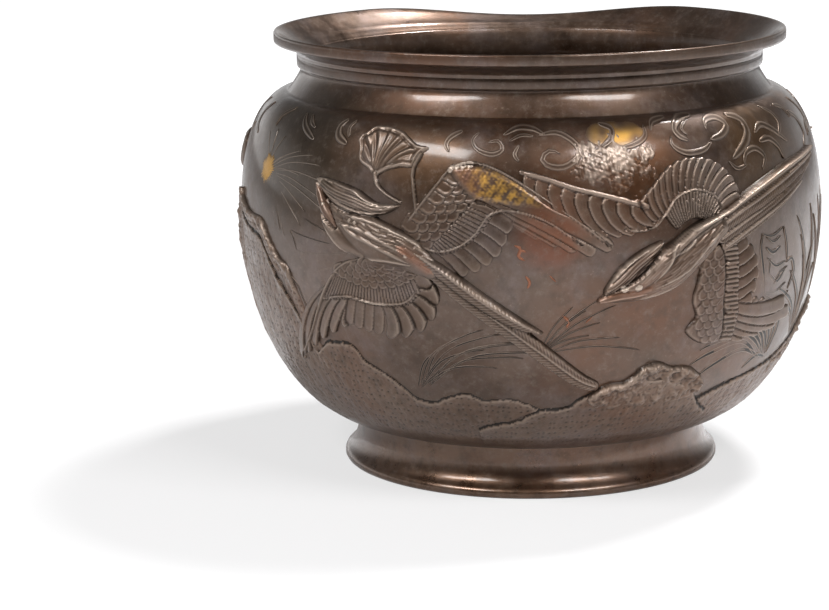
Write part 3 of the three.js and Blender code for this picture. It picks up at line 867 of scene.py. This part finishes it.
def figured(tree, operation, a, a_name, b, b_name):
    """Two values multiplied, or the greater of them."""
    node = tree.nodes.new("ShaderNodeMath")
    node.operation = operation
    link(tree, a, a_name, node, 0)
    link(tree, b, b_name, node, 1)
    return node


# Brown patina, between its dark and its pale tone
DARK_BROWN = (0.052, 0.027, 0.015)
PALE_BROWN = (0.100, 0.064, 0.045)
DARK_BELOW, PALE_ABOVE = 0.36, 0.64

# Mottling over it, as (noise scale, detail, roughness, noise from, noise to, strength, colour)
BROAD_MOTTLES = [
    (9, 3, 0.6, 0.52, 0.72, 0.75, (0.105, 0.042, 0.018, 1)),
    (27, 8, 0.72, 0.5, 0.66, 0.5, (0.125, 0.098, 0.094, 1)),
    (70, 5, 0.7, 0.62, 0.8, 0.35, (0.16, 0.125, 0.10, 1)),
]
FINE_MOTTLES = [
    (240, 7, 0.75, 0.52, 0.7, 0.4, (0.16, 0.13, 0.11, 1)),
    (130, 6, 0.7, 0.5, 0.34, 0.45, (0.035, 0.022, 0.013, 1)),
    (520, 3, 0.6, 0.66, 0.76, 0.3, (0.24, 0.19, 0.15, 1)),
]
# Warmer and darker places, as (middle, reach, colour)
STAINS = [
    ((0.010, -0.143, 0.137), 0.021, (0.13, 0.036, 0.010, 1)),
    ((-0.112, -0.085, 0.172), 0.055, (0.030, 0.018, 0.007, 1)),
    ((0.050, -0.128, 0.163), 0.03, (0.085, 0.032, 0.010, 1)),
    ((0.105, -0.085, 0.168), 0.035, (0.080, 0.040, 0.014, 1)),
    ((-0.05, -0.13, 0.175), 0.03, (0.060, 0.028, 0.010, 1)),
]
STAIN_STRENGTH = 0.75
# What the chasing's marks paint, as (mark, colour, strength); the pale wear colour also paints highlights,
# the near-black one dark patina and painted shade
MARK_PAINTS = [
    ("wear", (0.40, 0.32, 0.26, 1), 0.5),
    ("gilt", (0.60, 0.33, 0.06, 1), 0.85),
    ("red", (0.22, 0.085, 0.045, 1), 0.7),
    ("patina_and_painted_shade", (0.012, 0.007, 0.004, 1), 0.85),
]


def bronze(name, rough=0.4, chased=False, pits=0.0, painted_light=1.0):
    """Patinated bronze: brown, mottled and stained, with a waxed skin and the marks the chasing asks for. Its
    tone can be painted lighter to stand in for the light that falls on it.
    """
    mat = bpy.data.materials.new(name)
    mat.use_nodes = True
    tree = mat.node_tree
    shader = tree.nodes["Principled BSDF"]
    shader.inputs["Metallic"].default_value = 0.8
    shader.inputs["Coat Weight"].default_value = 0.25 if chased else 0.5
    shader.inputs["Coat Roughness"].default_value = 0.13
    place = tree.nodes.new("ShaderNodeTexCoord")

    def noise(scale, detail, roughness=0.6):
        node = tree.nodes.new("ShaderNodeTexNoise")
        node.inputs["Scale"].default_value = scale
        node.inputs["Detail"].default_value = detail
        node.inputs["Roughness"].default_value = roughness
        link(tree, place, "Object", node, "Vector")
        return node

    def painted(under, amount, paint):
        mix = tree.nodes.new("ShaderNodeMix")
        mix.data_type = "RGBA"
        mix.inputs["B"].default_value = paint
        link(tree, amount, "Result", mix, "Factor")
        tree.links.new(under, mix.inputs["A"])
        return mix.outputs["Result"]

    def mottled(under, mottles):
        for scale, detail, roughness, low, high, strength, paint in mottles:
            amount = ranged(tree, noise(scale, detail, roughness), "Fac", low, high, to_low=0.0,
                            to_high=strength)
            under = painted(under, amount, paint)
        return under

    tone = tree.nodes.new("ShaderNodeValToRGB")
    tones = ((DARK_BELOW, DARK_BROWN), (PALE_ABOVE, PALE_BROWN))
    for stop, (share, brown) in zip(tone.color_ramp.elements, tones):
        stop.position = share
        stop.color = [part * painted_light for part in brown] + [1]
    link(tree, noise(scale=15, detail=9, roughness=0.68), "Fac", tone, "Fac")
    colour = mottled(tone.outputs["Color"], BROAD_MOTTLES)
    for middle, size, paint in STAINS:
        away = tree.nodes.new("ShaderNodeVectorMath")
        away.operation = "DISTANCE"
        away.inputs[1].default_value = middle
        link(tree, place, "Object", away, 0)
        near = ranged(tree, away, "Value", size, size * 0.35, to_low=0.0, to_high=STAIN_STRENGTH)
        near.interpolation_type = "SMOOTHSTEP"
        colour = painted(colour, near, paint)
    colour = mottled(colour, FINE_MOTTLES)
    if chased:
        for mark, paint, strength in MARK_PAINTS:
            read = tree.nodes.new("ShaderNodeAttribute")
            read.attribute_name = mark
            amount = ranged(tree, read, "Fac", low=0, high=MOST_MARKED, to_low=0,
                            to_high=strength * MOST_MARKED)
            colour = painted(colour, amount, paint)
    tree.links.new(colour, shader.inputs["Base Color"])
    dull = ranged(tree, noise(scale=60, detail=8, roughness=0.75), "Fac", low=0.3, high=0.7,
                  to_low=rough - 0.14, to_high=rough + 0.16)
    link(tree, dull, "Result", shader, "Roughness")
    grain = tree.nodes.new("ShaderNodeBump")
    grain.inputs["Strength"].default_value = 0.12 + pits
    grain.inputs["Distance"].default_value = 0.0004
    link(tree, noise(scale=900, detail=3), "Fac", grain, "Height")
    link(tree, grain, "Normal", shader, "Normal")
    return mat


wall_bronze = bronze("wall_bronze")
# The foot and base plate, and the rocks and ground, are painted lighter copies of the bronze, standing in for
# the light they get
foot_bronze_painted_lighter = bronze("foot_bronze_painted_lighter", rough=0.34, painted_light=1.75)
chased_bronze = bronze("chased_bronze", rough=0.43, chased=True)
rock_bronze_painted_lighter = bronze("rock_bronze_painted_lighter", rough=0.47, chased=True, pits=0.3, painted_light=1.35)


# The vessel

# The lip's back sags and leans in, over this angle to each side of its middle
LIP_SAG = 7
LIP_SAG_IN = 2
LIP_SAG_HALF = math.radians(43)

# Where the lip sits, its band, the throat's radius, the inner face's top, and the foot opening's radius
LIP_SEAT = WALL_TOP + 0.3
LIP_BAND = 5.2
THROAT = 109.9
INSIDE_TOP = 184
FOOT_OPENING = 82.3


def belly_profile():
    """The body's closed section: outside from foot to neck, then inside back down."""
    quarter = math.pi / 2
    lower = [(FOOT_JOINT + (BELLY - FOOT_JOINT) * math.sin(t) ** FULLNESS,
              WALL_FOOT + (BELLY_UP - WALL_FOOT) * (1 - math.cos(t))) for t in np.linspace(0, quarter, 34)]
    upper = [(SHOULDER + (BELLY - SHOULDER) * math.cos(t),
              BELLY_UP + (SHOULDER_UP - BELLY_UP) * math.sin(t)) for t in np.linspace(0, quarter, 26)[1:]]
    neck = [(119.6, 187.5), (118.1, 189.5), (116.75, 191.5), (115.45, 193.5), (114.3, 195.5),
            (113.55, 197.2), (113.3, 198.3), (113.4, 198.7), (114.5, 199.0), (115.1, 199.5), (115.3, 200.4),
            (115.35, 202.6), (115.35, WALL_TOP - 0.02), (115.33, WALL_TOP)]
    outside = lower + upper + neck
    inside = [(r - WALL, z + 0.8) for r, z in reversed(lower[3:] + upper[:-3]) if z < INSIDE_TOP]
    top = [(THROAT + 1.1, WALL_TOP), (THROAT + 0.7, WALL_TOP - 0.8), (THROAT + 0.2, 201.8),
           (THROAT - 0.2, 199.5), (THROAT - 0.5, 196.5), (THROAT - 0.5, 193.5), (THROAT - 0.1, 191),
           (111.2, 188.5), (114, 185.5)]
    return outside + top + inside + [(FOOT_OPENING, WALL_FOOT + 3), (FOOT_OPENING, WALL_FOOT)]


def hand_finished(co):
    """Slight unevenness of a cast and filed wall."""
    even_below, even_above, fade = 30, 186, 20
    turn, up = np.arctan2(co[:, 0], -co[:, 1]), co[:, 2] / MM
    swell = 0.16 * np.sin(turn * 5 + up * 0.045) + 0.10 * np.sin(turn * 11 - up * 0.09 + 1)
    swell = swell + 0.07 * np.sin(turn * 19 + up * 0.13 + 2)
    swell = (swell - 0.1) * np.clip((up - even_below) / fade, 0, 1) * np.clip((even_above - up) / fade, 0, 1)
    radius = np.hypot(co[:, 0], co[:, 1])
    co[:, :2] *= (1 + swell * MM / radius)[:, None]
    return co


def sagged(co):
    """The lip's edge sags and leans in at the back."""
    radius = np.hypot(co[:, 0], co[:, 1]) / MM
    from_back = np.abs(np.arctan2(co[:, 0], co[:, 1]))
    across = np.clip((radius - THROAT) / (LIP - THROAT), 0, 1)
    bell = np.cos(np.minimum(from_back / LIP_SAG_HALF, 1) * math.pi / 2) ** 2 * across**1.3
    co[:, :2] *= ((radius - LIP_SAG_IN * bell) / radius)[:, None]
    co[:, 2] = np.maximum(co[:, 2] - LIP_SAG * bell * MM, np.minimum(co[:, 2], LIP_SEAT * MM))
    return co


def lip_profile():
    """The lip's closed section: up under the flare, round its plain band, and down inside to the throat."""
    low = LIP_TOP - LIP_BAND
    under = [(112.6, WALL_TOP - 0.8), (112.7, WALL_TOP), (115.33, WALL_TOP), (115.35, WALL_TOP + 0.02),
             (115.35, LIP_SEAT + 0.8), (115.6, LIP_SEAT + 1.5), (116.6, LIP_SEAT + 2.6),
             (118.4, LIP_SEAT + 3.9), (120.6, LIP_SEAT + 5), (123.2, low - 0.9), (125.3, low - 0.5)]
    band = [(126.0, low - 0.2), (LIP - 0.1, low + 0.3), (LIP, low + 1), (LIP, low + 2.4), (LIP, low + 3.8),
            (LIP - 0.1, LIP_TOP - 0.7), (LIP - 0.4, LIP_TOP - 0.2), (LIP - 1.0, LIP_TOP)]
    inside = [(LIP - 2.2, LIP_TOP - 0.5), (LIP - 4.4, LIP_TOP - 2.4), (LIP - 7.4, LIP_TOP - 5.2),
              (LIP - 10.6, LIP_TOP - 7.6), (LIP - 13.0, LIP_TOP - 8.9), (THROAT + 3.2, LIP_TOP - 9.9),
              (THROAT + 1.9, LIP_TOP - 11.1), (THROAT + 1.1, LIP_TOP - 12.3),
              (THROAT + 0.74, WALL_TOP - 0.7), (THROAT + 0.7, WALL_TOP - 0.8)]
    return under + band + inside


def foot_profile():
    """The foot's closed section: its bead, the waist up to the joint, and its hollow inside."""
    bead = [(86.3, 0), (FOOT - 1.6, 0), (FOOT - 0.5, 0.5), (FOOT, 1.4), (FOOT, 2.8), (FOOT - 0.5, 4.0),
            (FOOT - 1.5, 5.0), (FOOT - 2.6, 5.7)]
    waist = [(90.2, 7.6), (88.9, 10), (88.0, 13), (87.6, 16), (87.7, 19), (88.1, 21.4), (88.6, 23),
             (FOOT_JOINT, 24)]
    return bead + waist + [(76, 24), (76, 20.6), (83.5, 18.6), (84, 10), (85.2, 3)]


turned_piece("body_shell", belly_profile(), wall_bronze, steps=256, shift=hand_finished)
turned_piece("mouth_lip", lip_profile(), wall_bronze, steps=256, shift=sagged)
turned_piece("foot_ring", foot_profile(), foot_bronze_painted_lighter, steps=192)


def base_plate():
    """A plain disc, its rim eased."""
    bm = bmesh.new()
    low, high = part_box("base_plate")
    bmesh.ops.create_cone(bm, cap_ends=True, segments=128, radius1=high.x, radius2=high.x,
                          depth=high.z - low.z)
    bmesh.ops.translate(bm, vec=(0, 0, (low.z + high.z) / 2), verts=bm.verts)
    joined = [e for e in bm.edges if len(e.link_faces) == 2]
    rim = [e for e in joined if abs(e.link_faces[0].normal.z - e.link_faces[1].normal.z) > 0.5]
    bmesh.ops.bevel(bm, geom=rim, offset=0.5 * MM, segments=2, profile=0.5, affect="EDGES", material=-1)
    finish_piece("base_plate", mesh_of("base_plate", bm), foot_bronze_painted_lighter, replaces_node=True)


base_plate()

# The birds' pieces, with their boxes on the wall as (arc from, arc to, height from, height to)
BIRDS = [
    ("diving_pheasant_body", (-113, -40, 114, 164), diving_body),
    ("diving_pheasant_tail", (-56, 38, 58, 134), diving_tail),
    ("diving_pheasant_raised_wing", (-60, 44, 114, 173), diving_raised_wing),
    ("diving_pheasant_lowered_wing", (-142, -38, 60, 128), diving_lowered_wing),
    ("stooping_pheasant_body", (28, 104, 100, 148), stooping_body),
    ("stooping_pheasant_tail", (86, 186, 122, 168), stooping_tail),
    ("stooping_pheasant_raised_wing", (-8, 112, 130, 172), stooping_raised_wing),
    ("stooping_pheasant_lowered_wing", (74, 161, 77, 134), stooping_lowered_wing),
]
for bird_name, bird_box, bird_chase in BIRDS:
    chased_piece(bird_name, bird_box, bird_chase, chased_bronze)
    chased_piece("rear_" + bird_name, bird_box, bird_chase, chased_bronze, rear=True)

MIDDLE_ROCK_BOX = (27, 99, 46, 76)
middle_crag = rock(MIDDLE_ROCK, tall=3.0, seed=8)
left_crag = rock(LEFT_ROCK, tall=2.0, seed=3, spread=3.2, edge_above=0.55, knob=0.22, proud_above=0.5)
right_crag = rock(RIGHT_ROCK, tall=1.6, seed=11, spread=4.0, knob=0.25)
chased_piece("fan_leaf", (-93, -46, 144, 185.5), fan_leaf, chased_bronze)
chased_piece("side_leaf", (-241, -218, 145, 169), side_leaf, chased_bronze)
chased_piece("left_rock", (-203, -110, 47, 142), left_crag, rock_bronze_painted_lighter)
chased_piece("middle_rock", MIDDLE_ROCK_BOX, middle_crag, rock_bronze_painted_lighter)
chased_piece("right_rock", (157, 235, 44, 87), right_crag, rock_bronze_painted_lighter)
chased_piece("rear_rock", MIDDLE_ROCK_BOX, middle_crag, rock_bronze_painted_lighter, rear=True)
chased_piece("front_ground", (-240, 241, GROUND_FOOT - 1, GROUND_TOP), ground, rock_bronze_painted_lighter,
             cell=FRONT_GROUND_CELL, replaces_node=False)
chased_piece("rear_ground", (-262, 262, GROUND_FOOT - 1, GROUND_TOP), ground, rock_bronze_painted_lighter, rear=True,
             cell=REAR_GROUND_CELL, replaces_node=False)
chased_piece("rough_cloud", (14, 66, 153, 181), rough_cloud, chased_bronze, replaces_node=False)
chased_piece("gold_blossom", (-165, -147, 149, 166), gold_blossom, chased_bronze)
chased_piece("gold_cloud", (27, 60, 174, 186.6), gold_cloud, chased_bronze)


# Engraved lines: each is a narrow strip

# How deep a strip's back lies, and its width at the ends as a share of the middle's
STRIP_BACK = -0.6
NARROW_END = 0.12
# Sections across a strip, as (place across, lift, wear and painted highlight, dark patina and painted shade,
# red); the groove's shade is painted along its middle and at the strip's edges
BURR = [(-1, -0.12, 0, 0.1, 0), (-0.7, 0.2, 0.9, 0, 0), (-0.34, 0.03, 0, 1.4, 0), (0.34, 0.03, 0, 1.4, 0),
        (0.7, 0.2, 0.9, 0, 0), (1, -0.12, 0, 0.1, 0)]
SCROLL = [(-1, -0.12, 0, 1, 0), (-0.8, 0.2, 0.3, 0, 0), (-0.6, 0.36, 0.9, 0, 0), (-0.25, 0.16, 0.1, 0.5, 0),
          (0.1, 0.14, 0.1, 0.5, 0), (0.5, 0.34, 0.8, 0, 0), (0.8, 0.1, 0.1, 0.3, 0), (1, -0.12, 0, 1, 0)]
RAY = [(-1, -0.12, 0, 0.8, 0), (-0.3, 0.12, 0.6, 0, 0), (0.3, 0.12, 0.6, 0, 0), (1, -0.12, 0, 0.8, 0)]
SCRATCH = [(-1, -0.12, 0.2, 0, 2), (0, 0.14, 1.2, 0, 1.4), (1, -0.12, 0.2, 0, 2)]


def engraved_piece(name, strokes, section, steps, rear=False):
    """Strokes are (points, half width). The section says what each line along a stroke is."""
    bm = bmesh.new()
    marks = [bm.verts.layers.float.new(mark) for mark in ("wear", "patina_and_painted_shade", "red")]
    lines = len(section) - 1
    for points, half in strokes:
        path = spaced(points, steps + 1)
        ahead = np.gradient(path, axis=0)
        ahead /= np.hypot(ahead[:, 0], ahead[:, 1])[:, None]
        strip = bmesh.ops.create_grid(bm, x_segments=steps, y_segments=lines, size=0.5)["verts"]
        for v in strip:
            i = round((v.co.x + 0.5) * steps)
            across, lift, *marked = section[round((v.co.y + 0.5) * lines)]
            share = i / steps
            width = half * (NARROW_END + (1 - NARROW_END) * (4 * share * (1 - share)) ** 0.5)
            beside = across * width
            v.co = (path[i, 0] - ahead[i, 1] * beside, path[i, 1] + ahead[i, 0] * beside, lift)
            for mark, value in zip(marks, marked):
                v[mark] = value
    mesh = closed_slab(name, bm, STRIP_BACK, rear)
    co = places_of(mesh)
    arc = REAR_ARC - co[:, 0] if rear else co[:, 0]
    move_to(mesh, on_wall(arc, co[:, 1], co[:, 2]))
    finish_piece(name, mesh, chased_bronze, replaces_node=False)


def front_and_rear(name, strokes, section, steps):
    """The same strokes on the front and, turned the other way round, on the rear."""
    engraved_piece(name, strokes, section, steps)
    engraved_piece("rear_" + name, strokes, section, steps, rear=True)


CLOUD_SCROLLS = [
    ([(-139, 184), (-136, 181), (-131, 178), (-121, 174)], 1.8),
    ([(-133, 184), (-129, 181), (-124, 179)], 1.1),
    ([(-103, 184), (-106, 181), (-104, 177), (-97, 174)], 2.2), ([(-97, 184), (-99, 181), (-97, 177)], 1.2),
    ([(-34, 182.5), (-39, 180), (-41, 177), (-39, 173.5)], 1.6),
    ([(-25, 182), (-28, 179), (-25, 175), (-18, 173), (-13, 175), (-15, 178.5), (-20, 178)], 1.4),
    ([(-13, 181), (-6, 184), (2, 183.6), (8, 181)], 1.5), ([(-10, 178.5), (-4, 181), (2, 180.6)], 0.9),
    ([(-5, 170), (-7, 173), (-5, 177)], 1.2),
    ([(5, 181), (14, 182), (22, 178), (24, 172.5), (17, 167.5), (9, 168), (6, 171.5), (10, 174.5),
      (15, 173)], 1.8),
    ([(36, 185), (42, 183), (41, 179), (35, 175)], 1.8),
    ([(60, 183.5), (59, 179), (53, 176), (45, 174.5)], 1.6), ([(75, 186), (66, 184.6), (63, 181)], 1.2),
    ([(92, 186), (83, 185), (77, 181.5), (78, 178), (83, 175.5)], 1.9),
    ([(86, 184), (81, 181), (83, 178)], 0.9),
    ([(73, 178), (73, 174), (80, 170.5), (90, 171), (96, 174)], 1.6),
    ([(96, 179.5), (98, 183), (106, 184), (111, 180.5), (105, 176.5), (96, 175)], 2.0),
    ([(114, 184.5), (123, 182), (124, 176.5), (118, 171), (107, 165.5)], 2.6),
    ([(129, 175), (137, 178), (146, 175), (157, 168)], 1.8),
    ([(130, 171), (139, 171.5), (146, 167), (148, 161)], 1.8),
    ([(114, 162), (117, 167), (125, 168.5), (131, 164), (127, 158.5)], 1.6),
    ([(104, 164.5), (109, 161), (116, 162)], 1.1), ([(148, 185), (155, 181), (156, 176), (150, 172)], 1.6),
    ([(176, 180), (184, 176), (186, 168), (178, 163)], 2.2), ([(164, 184), (172, 182), (175, 177)], 1.4),
    ([(196, 184), (203, 179), (204, 172), (198, 167)], 1.9), ([(-154, 185), (-162, 181), (-163, 176)], 1.4),
    ([(-190, 184), (-196, 179), (-194, 173), (-186, 170)], 2.0),
    ([(-212, 184), (-219, 180), (-218, 173), (-210, 169), (-205, 173)], 1.9),
    ([(212, 168), (219, 172), (228, 171), (233, 166)], 1.6),
]
front_and_rear("cloud_scrolls", CLOUD_SCROLLS, SCROLL, steps=20)


def spray(root, tips, bow, half):
    """Blades from one root, each arching over to its tip."""
    root = np.array(root, float)
    strokes = []
    for i, tip in enumerate(tips):
        tip = np.array(tip, float)
        run = tip - root
        beside = np.array([-run[1], run[0]]) * (1 if run[0] > 0 else -1)
        start = root + run * (0.06 + 0.05 * (i % 3))
        middle = root + run * 0.5 + beside * bow
        fall = root + run * 0.85 + beside * bow * 0.5
        strokes.append(([start, middle, fall, tip], half))
    return strokes


GRASS = spray((-60, 61), [(-41, 84), (-30, 90), (-22, 93), (-13, 91), (-22, 83), (-4, 86), (2, 87), (8, 81),
                          (-3, 79), (-16, 74)], bow=0.12, half=0.6)
GRASS += spray((4, 82), [(20, 104), (26, 102), (32, 107), (40, 104), (33, 96), (43, 88), (54, 81),
                         (28, 90)], bow=0.06, half=0.45)
GRASS += spray((148, 65), [(127, 62), (92, 63), (85, 70), (89, 77), (102, 79), (110, 83), (118, 84),
                           (127, 86), (135, 90), (143, 92)], bow=0.16, half=1.5)
GRASS += spray((176, 70), [(145, 92), (140, 100), (151, 107), (160, 123), (155, 133), (174, 136),
                           (166, 112), (182, 118), (190, 104)], bow=0.1, half=1.4)
GRASS += spray((200, 84), [(180, 130), (190, 138), (203, 140), (214, 134), (222, 122), (228, 108)],
               bow=0.08, half=0.9)
GRASS += spray((-70, 130), [(-118, 138), (-128, 131), (-122, 122), (-114, 113)], bow=-0.04, half=0.4)
GRASS += spray((-208, 74), [(-232, 108), (-222, 124), (-212, 132), (-240, 96)], bow=0.08, half=0.8)
GRASS += [([(-164, 106), (-160, 104), (-156, 102.5), (-146, 104)], 0.9), ([(-158, 109), (-154, 110)], 0.7),
          ([(-152, 69.5), (-146, 66), (-140, 64), (-131, 60.5)], 0.9),
          ([(-148, 118), (-140, 114), (-134, 110), (-126, 105), (-123, 98), (-119, 90)], 0.6),
          ([(-143, 141), (-140, 136), (-138, 130)], 0.5), ([(-129, 131), (-126, 127), (-124, 122)], 0.5)]
RAYS = spray((-156, 157), [(-128, 168), (-118, 167), (-111, 163), (-125, 157), (-103, 155), (-110, 149),
                           (-101, 141), (-118, 141), (-121, 134), (-134, 127), (-147, 173), (-158, 175),
                           (-167, 173), (-142, 131), (-136, 166)], bow=0.05, half=0.45)
front_and_rear("blossom_rays", RAYS, RAY, steps=12)
front_and_rear("grass_lines", GRASS, BURR, steps=12)

KNOT = [([(123, 129), (122, 122), (124, 114), (127, 104), (128, 98)], 1.2),
        ([(127, 99), (138, 94), (146, 93.5), (152, 97)], 1.3),
        ([(151, 98), (155, 106), (151, 113), (145, 112)], 1.3), ([(122, 129), (131, 127), (141, 130)], 0.8),
        ([(126, 122), (132, 119), (138, 121)], 1.3), ([(127, 117), (135, 112), (144, 113)], 0.9),
        ([(131, 108), (138, 104), (145, 110)], 1.2), ([(128, 100), (138, 99), (147, 102)], 0.8),
        ([(141, 130), (144, 122), (146, 113)], 0.9), ([(135, 103), (140, 108), (147, 110)], 0.8),
        ([(126, 127), (132, 124), (138, 126)], 0.7), ([(130, 116), (130, 109), (134, 105)], 0.7)]
engraved_piece("engraved_knot", KNOT, BURR, steps=12)

SCRATCHES = [([(-7, 133), (-4, 131.5), (-5, 128), (-2, 126)], 0.8), ([(-4.5, 131), (-1.5, 130)], 0.6),
             ([(-2, 119), (0, 116), (-1, 113)], 0.7), ([(15, 100), (18, 97), (17, 94)], 0.8),
             ([(9, 119), (12, 116)], 0.4), ([(26, 96), (29, 99)], 0.4)]
engraved_piece("copper_scratches", SCRATCHES, SCRATCH, steps=8)


# Camera, floor and light

camera = bpy.data.objects.new("camera", bpy.data.cameras.new("camera"))
bpy.context.scene.collection.objects.link(camera)
camera.data.sensor_width = SENSOR_WIDTH
camera.data.lens = FOCAL_PIXELS * SENSOR_WIDTH / PHOTO_WIDTH
camera.data.clip_end = FAR_CLIP
yaw = Matrix.Rotation(CAMERA_YAW, 4, "Z")
pitch = Matrix.Rotation(math.pi / 2 - CAMERA_PITCH, 4, "X")
roll = Matrix.Rotation(CAMERA_ROLL, 4, "Z")
camera.matrix_world = Matrix.Translation(CAMERA_PLACE) @ (yaw @ pitch @ roll)
bpy.context.scene.camera = camera

# Softboxes, as (name, place, size, power, what it is aimed at)
MID_POT = (0, 0, 0.12)
LOW_POT = (0, 0, 0.05)
SOFTBOXES = [
    ("left_front_box", (-1.1, -1.05, 1.5), (1.05, 0.36), 28, MID_POT),
    ("right_front_box", (0.95, -1.15, 1.5), (1.0, 0.36), 26, MID_POT),
    ("key_box", (0.71, 0.53, 1.7), (0.3, 0.3), 40, LOW_POT),
]
for box_name, box_place, box_size, power, aim in SOFTBOXES:
    lamp = bpy.data.lights.new(box_name, "AREA")
    lamp.shape = "RECTANGLE"
    lamp.size, lamp.size_y = box_size
    lamp.energy = power
    box = bpy.data.objects.new(box_name, lamp)
    bpy.context.scene.collection.objects.link(box)
    box.location = box_place
    box.rotation_mode = "QUATERNION"
    box.rotation_quaternion = (Vector(aim) - Vector(box_place)).to_track_quat("-Z", "Y")


WHITE = (1, 1, 1, 1)


def studio():
    """A room white to the camera. Its light on the pot is dimmer in front, at the right and above."""
    world = bpy.data.worlds.new("studio")
    bpy.context.scene.world = world
    world.use_nodes = True
    tree = world.node_tree
    back = tree.nodes["Background"]
    back.inputs["Color"].default_value = WHITE
    direction = tree.nodes.new("ShaderNodeTexCoord")
    split = tree.nodes.new("ShaderNodeSeparateXYZ")
    link(tree, direction, "Generated", split, "Vector")
    front = ranged(tree, split, "Y", low=-0.9, high=0.2, to_low=0.4, to_high=1.0)
    ceiling = ranged(tree, split, "Z", low=0.06, high=0.3, to_low=1.0, to_high=0.12)
    side = ranged(tree, split, "X", low=-0.7, high=0.7, to_low=1.3, to_high=0.75)
    level = figured(tree, "MULTIPLY", front, "Result", side, "Result")
    dim = figured(tree, "MULTIPLY", level, "Value", ceiling, "Result")
    path = tree.nodes.new("ShaderNodeLightPath")
    seen = figured(tree, "MAXIMUM", path, "Is Camera Ray", dim, "Value")
    link(tree, seen, "Value", back, "Strength")


studio()

FLOOR_HALF = 9
FLOOR_TO_LIGHT = (0.86, 0.86, 0.87, 1)
FLOOR_TO_CAMERA = (0.3, 0.297, 0.3, 1)


def floor():
    """A pale floor that whitens away from the pot and keeps its shadow."""
    bm = bmesh.new()
    bmesh.ops.create_grid(bm, x_segments=2, y_segments=2, size=FLOOR_HALF)
    mat = bpy.data.materials.new("pale_floor")
    mat.use_nodes = True
    tree = mat.node_tree
    shader = tree.nodes["Principled BSDF"]
    shader.inputs["Roughness"].default_value = 0.9
    shader.inputs["Specular IOR Level"].default_value = 0.1
    shader.inputs["Emission Color"].default_value = WHITE
    path = tree.nodes.new("ShaderNodeLightPath")
    paint = tree.nodes.new("ShaderNodeMix")
    paint.data_type = "RGBA"
    paint.inputs["A"].default_value = FLOOR_TO_LIGHT
    paint.inputs["B"].default_value = FLOOR_TO_CAMERA
    link(tree, path, "Is Camera Ray", paint, "Factor")
    link(tree, paint, "Result", shader, "Base Color")
    place = tree.nodes.new("ShaderNodeTexCoord")
    away = tree.nodes.new("ShaderNodeVectorMath")
    away.operation = "LENGTH"
    link(tree, place, "Object", away, 0)
    fade = ranged(tree, away, "Value", low=0.5, high=1.3, to_low=0.6, to_high=1.0)
    glow = figured(tree, "MULTIPLY", path, "Is Camera Ray", fade, "Result")
    link(tree, glow, "Value", shader, "Emission Strength")
    piece = bpy.data.objects.new("floor", mesh_of("floor", bm))
    piece.data.materials.append(mat)
    bpy.context.scene.collection.objects.link(piece)


floor()

view = bpy.context.scene.view_settings
view.view_transform = "Standard"
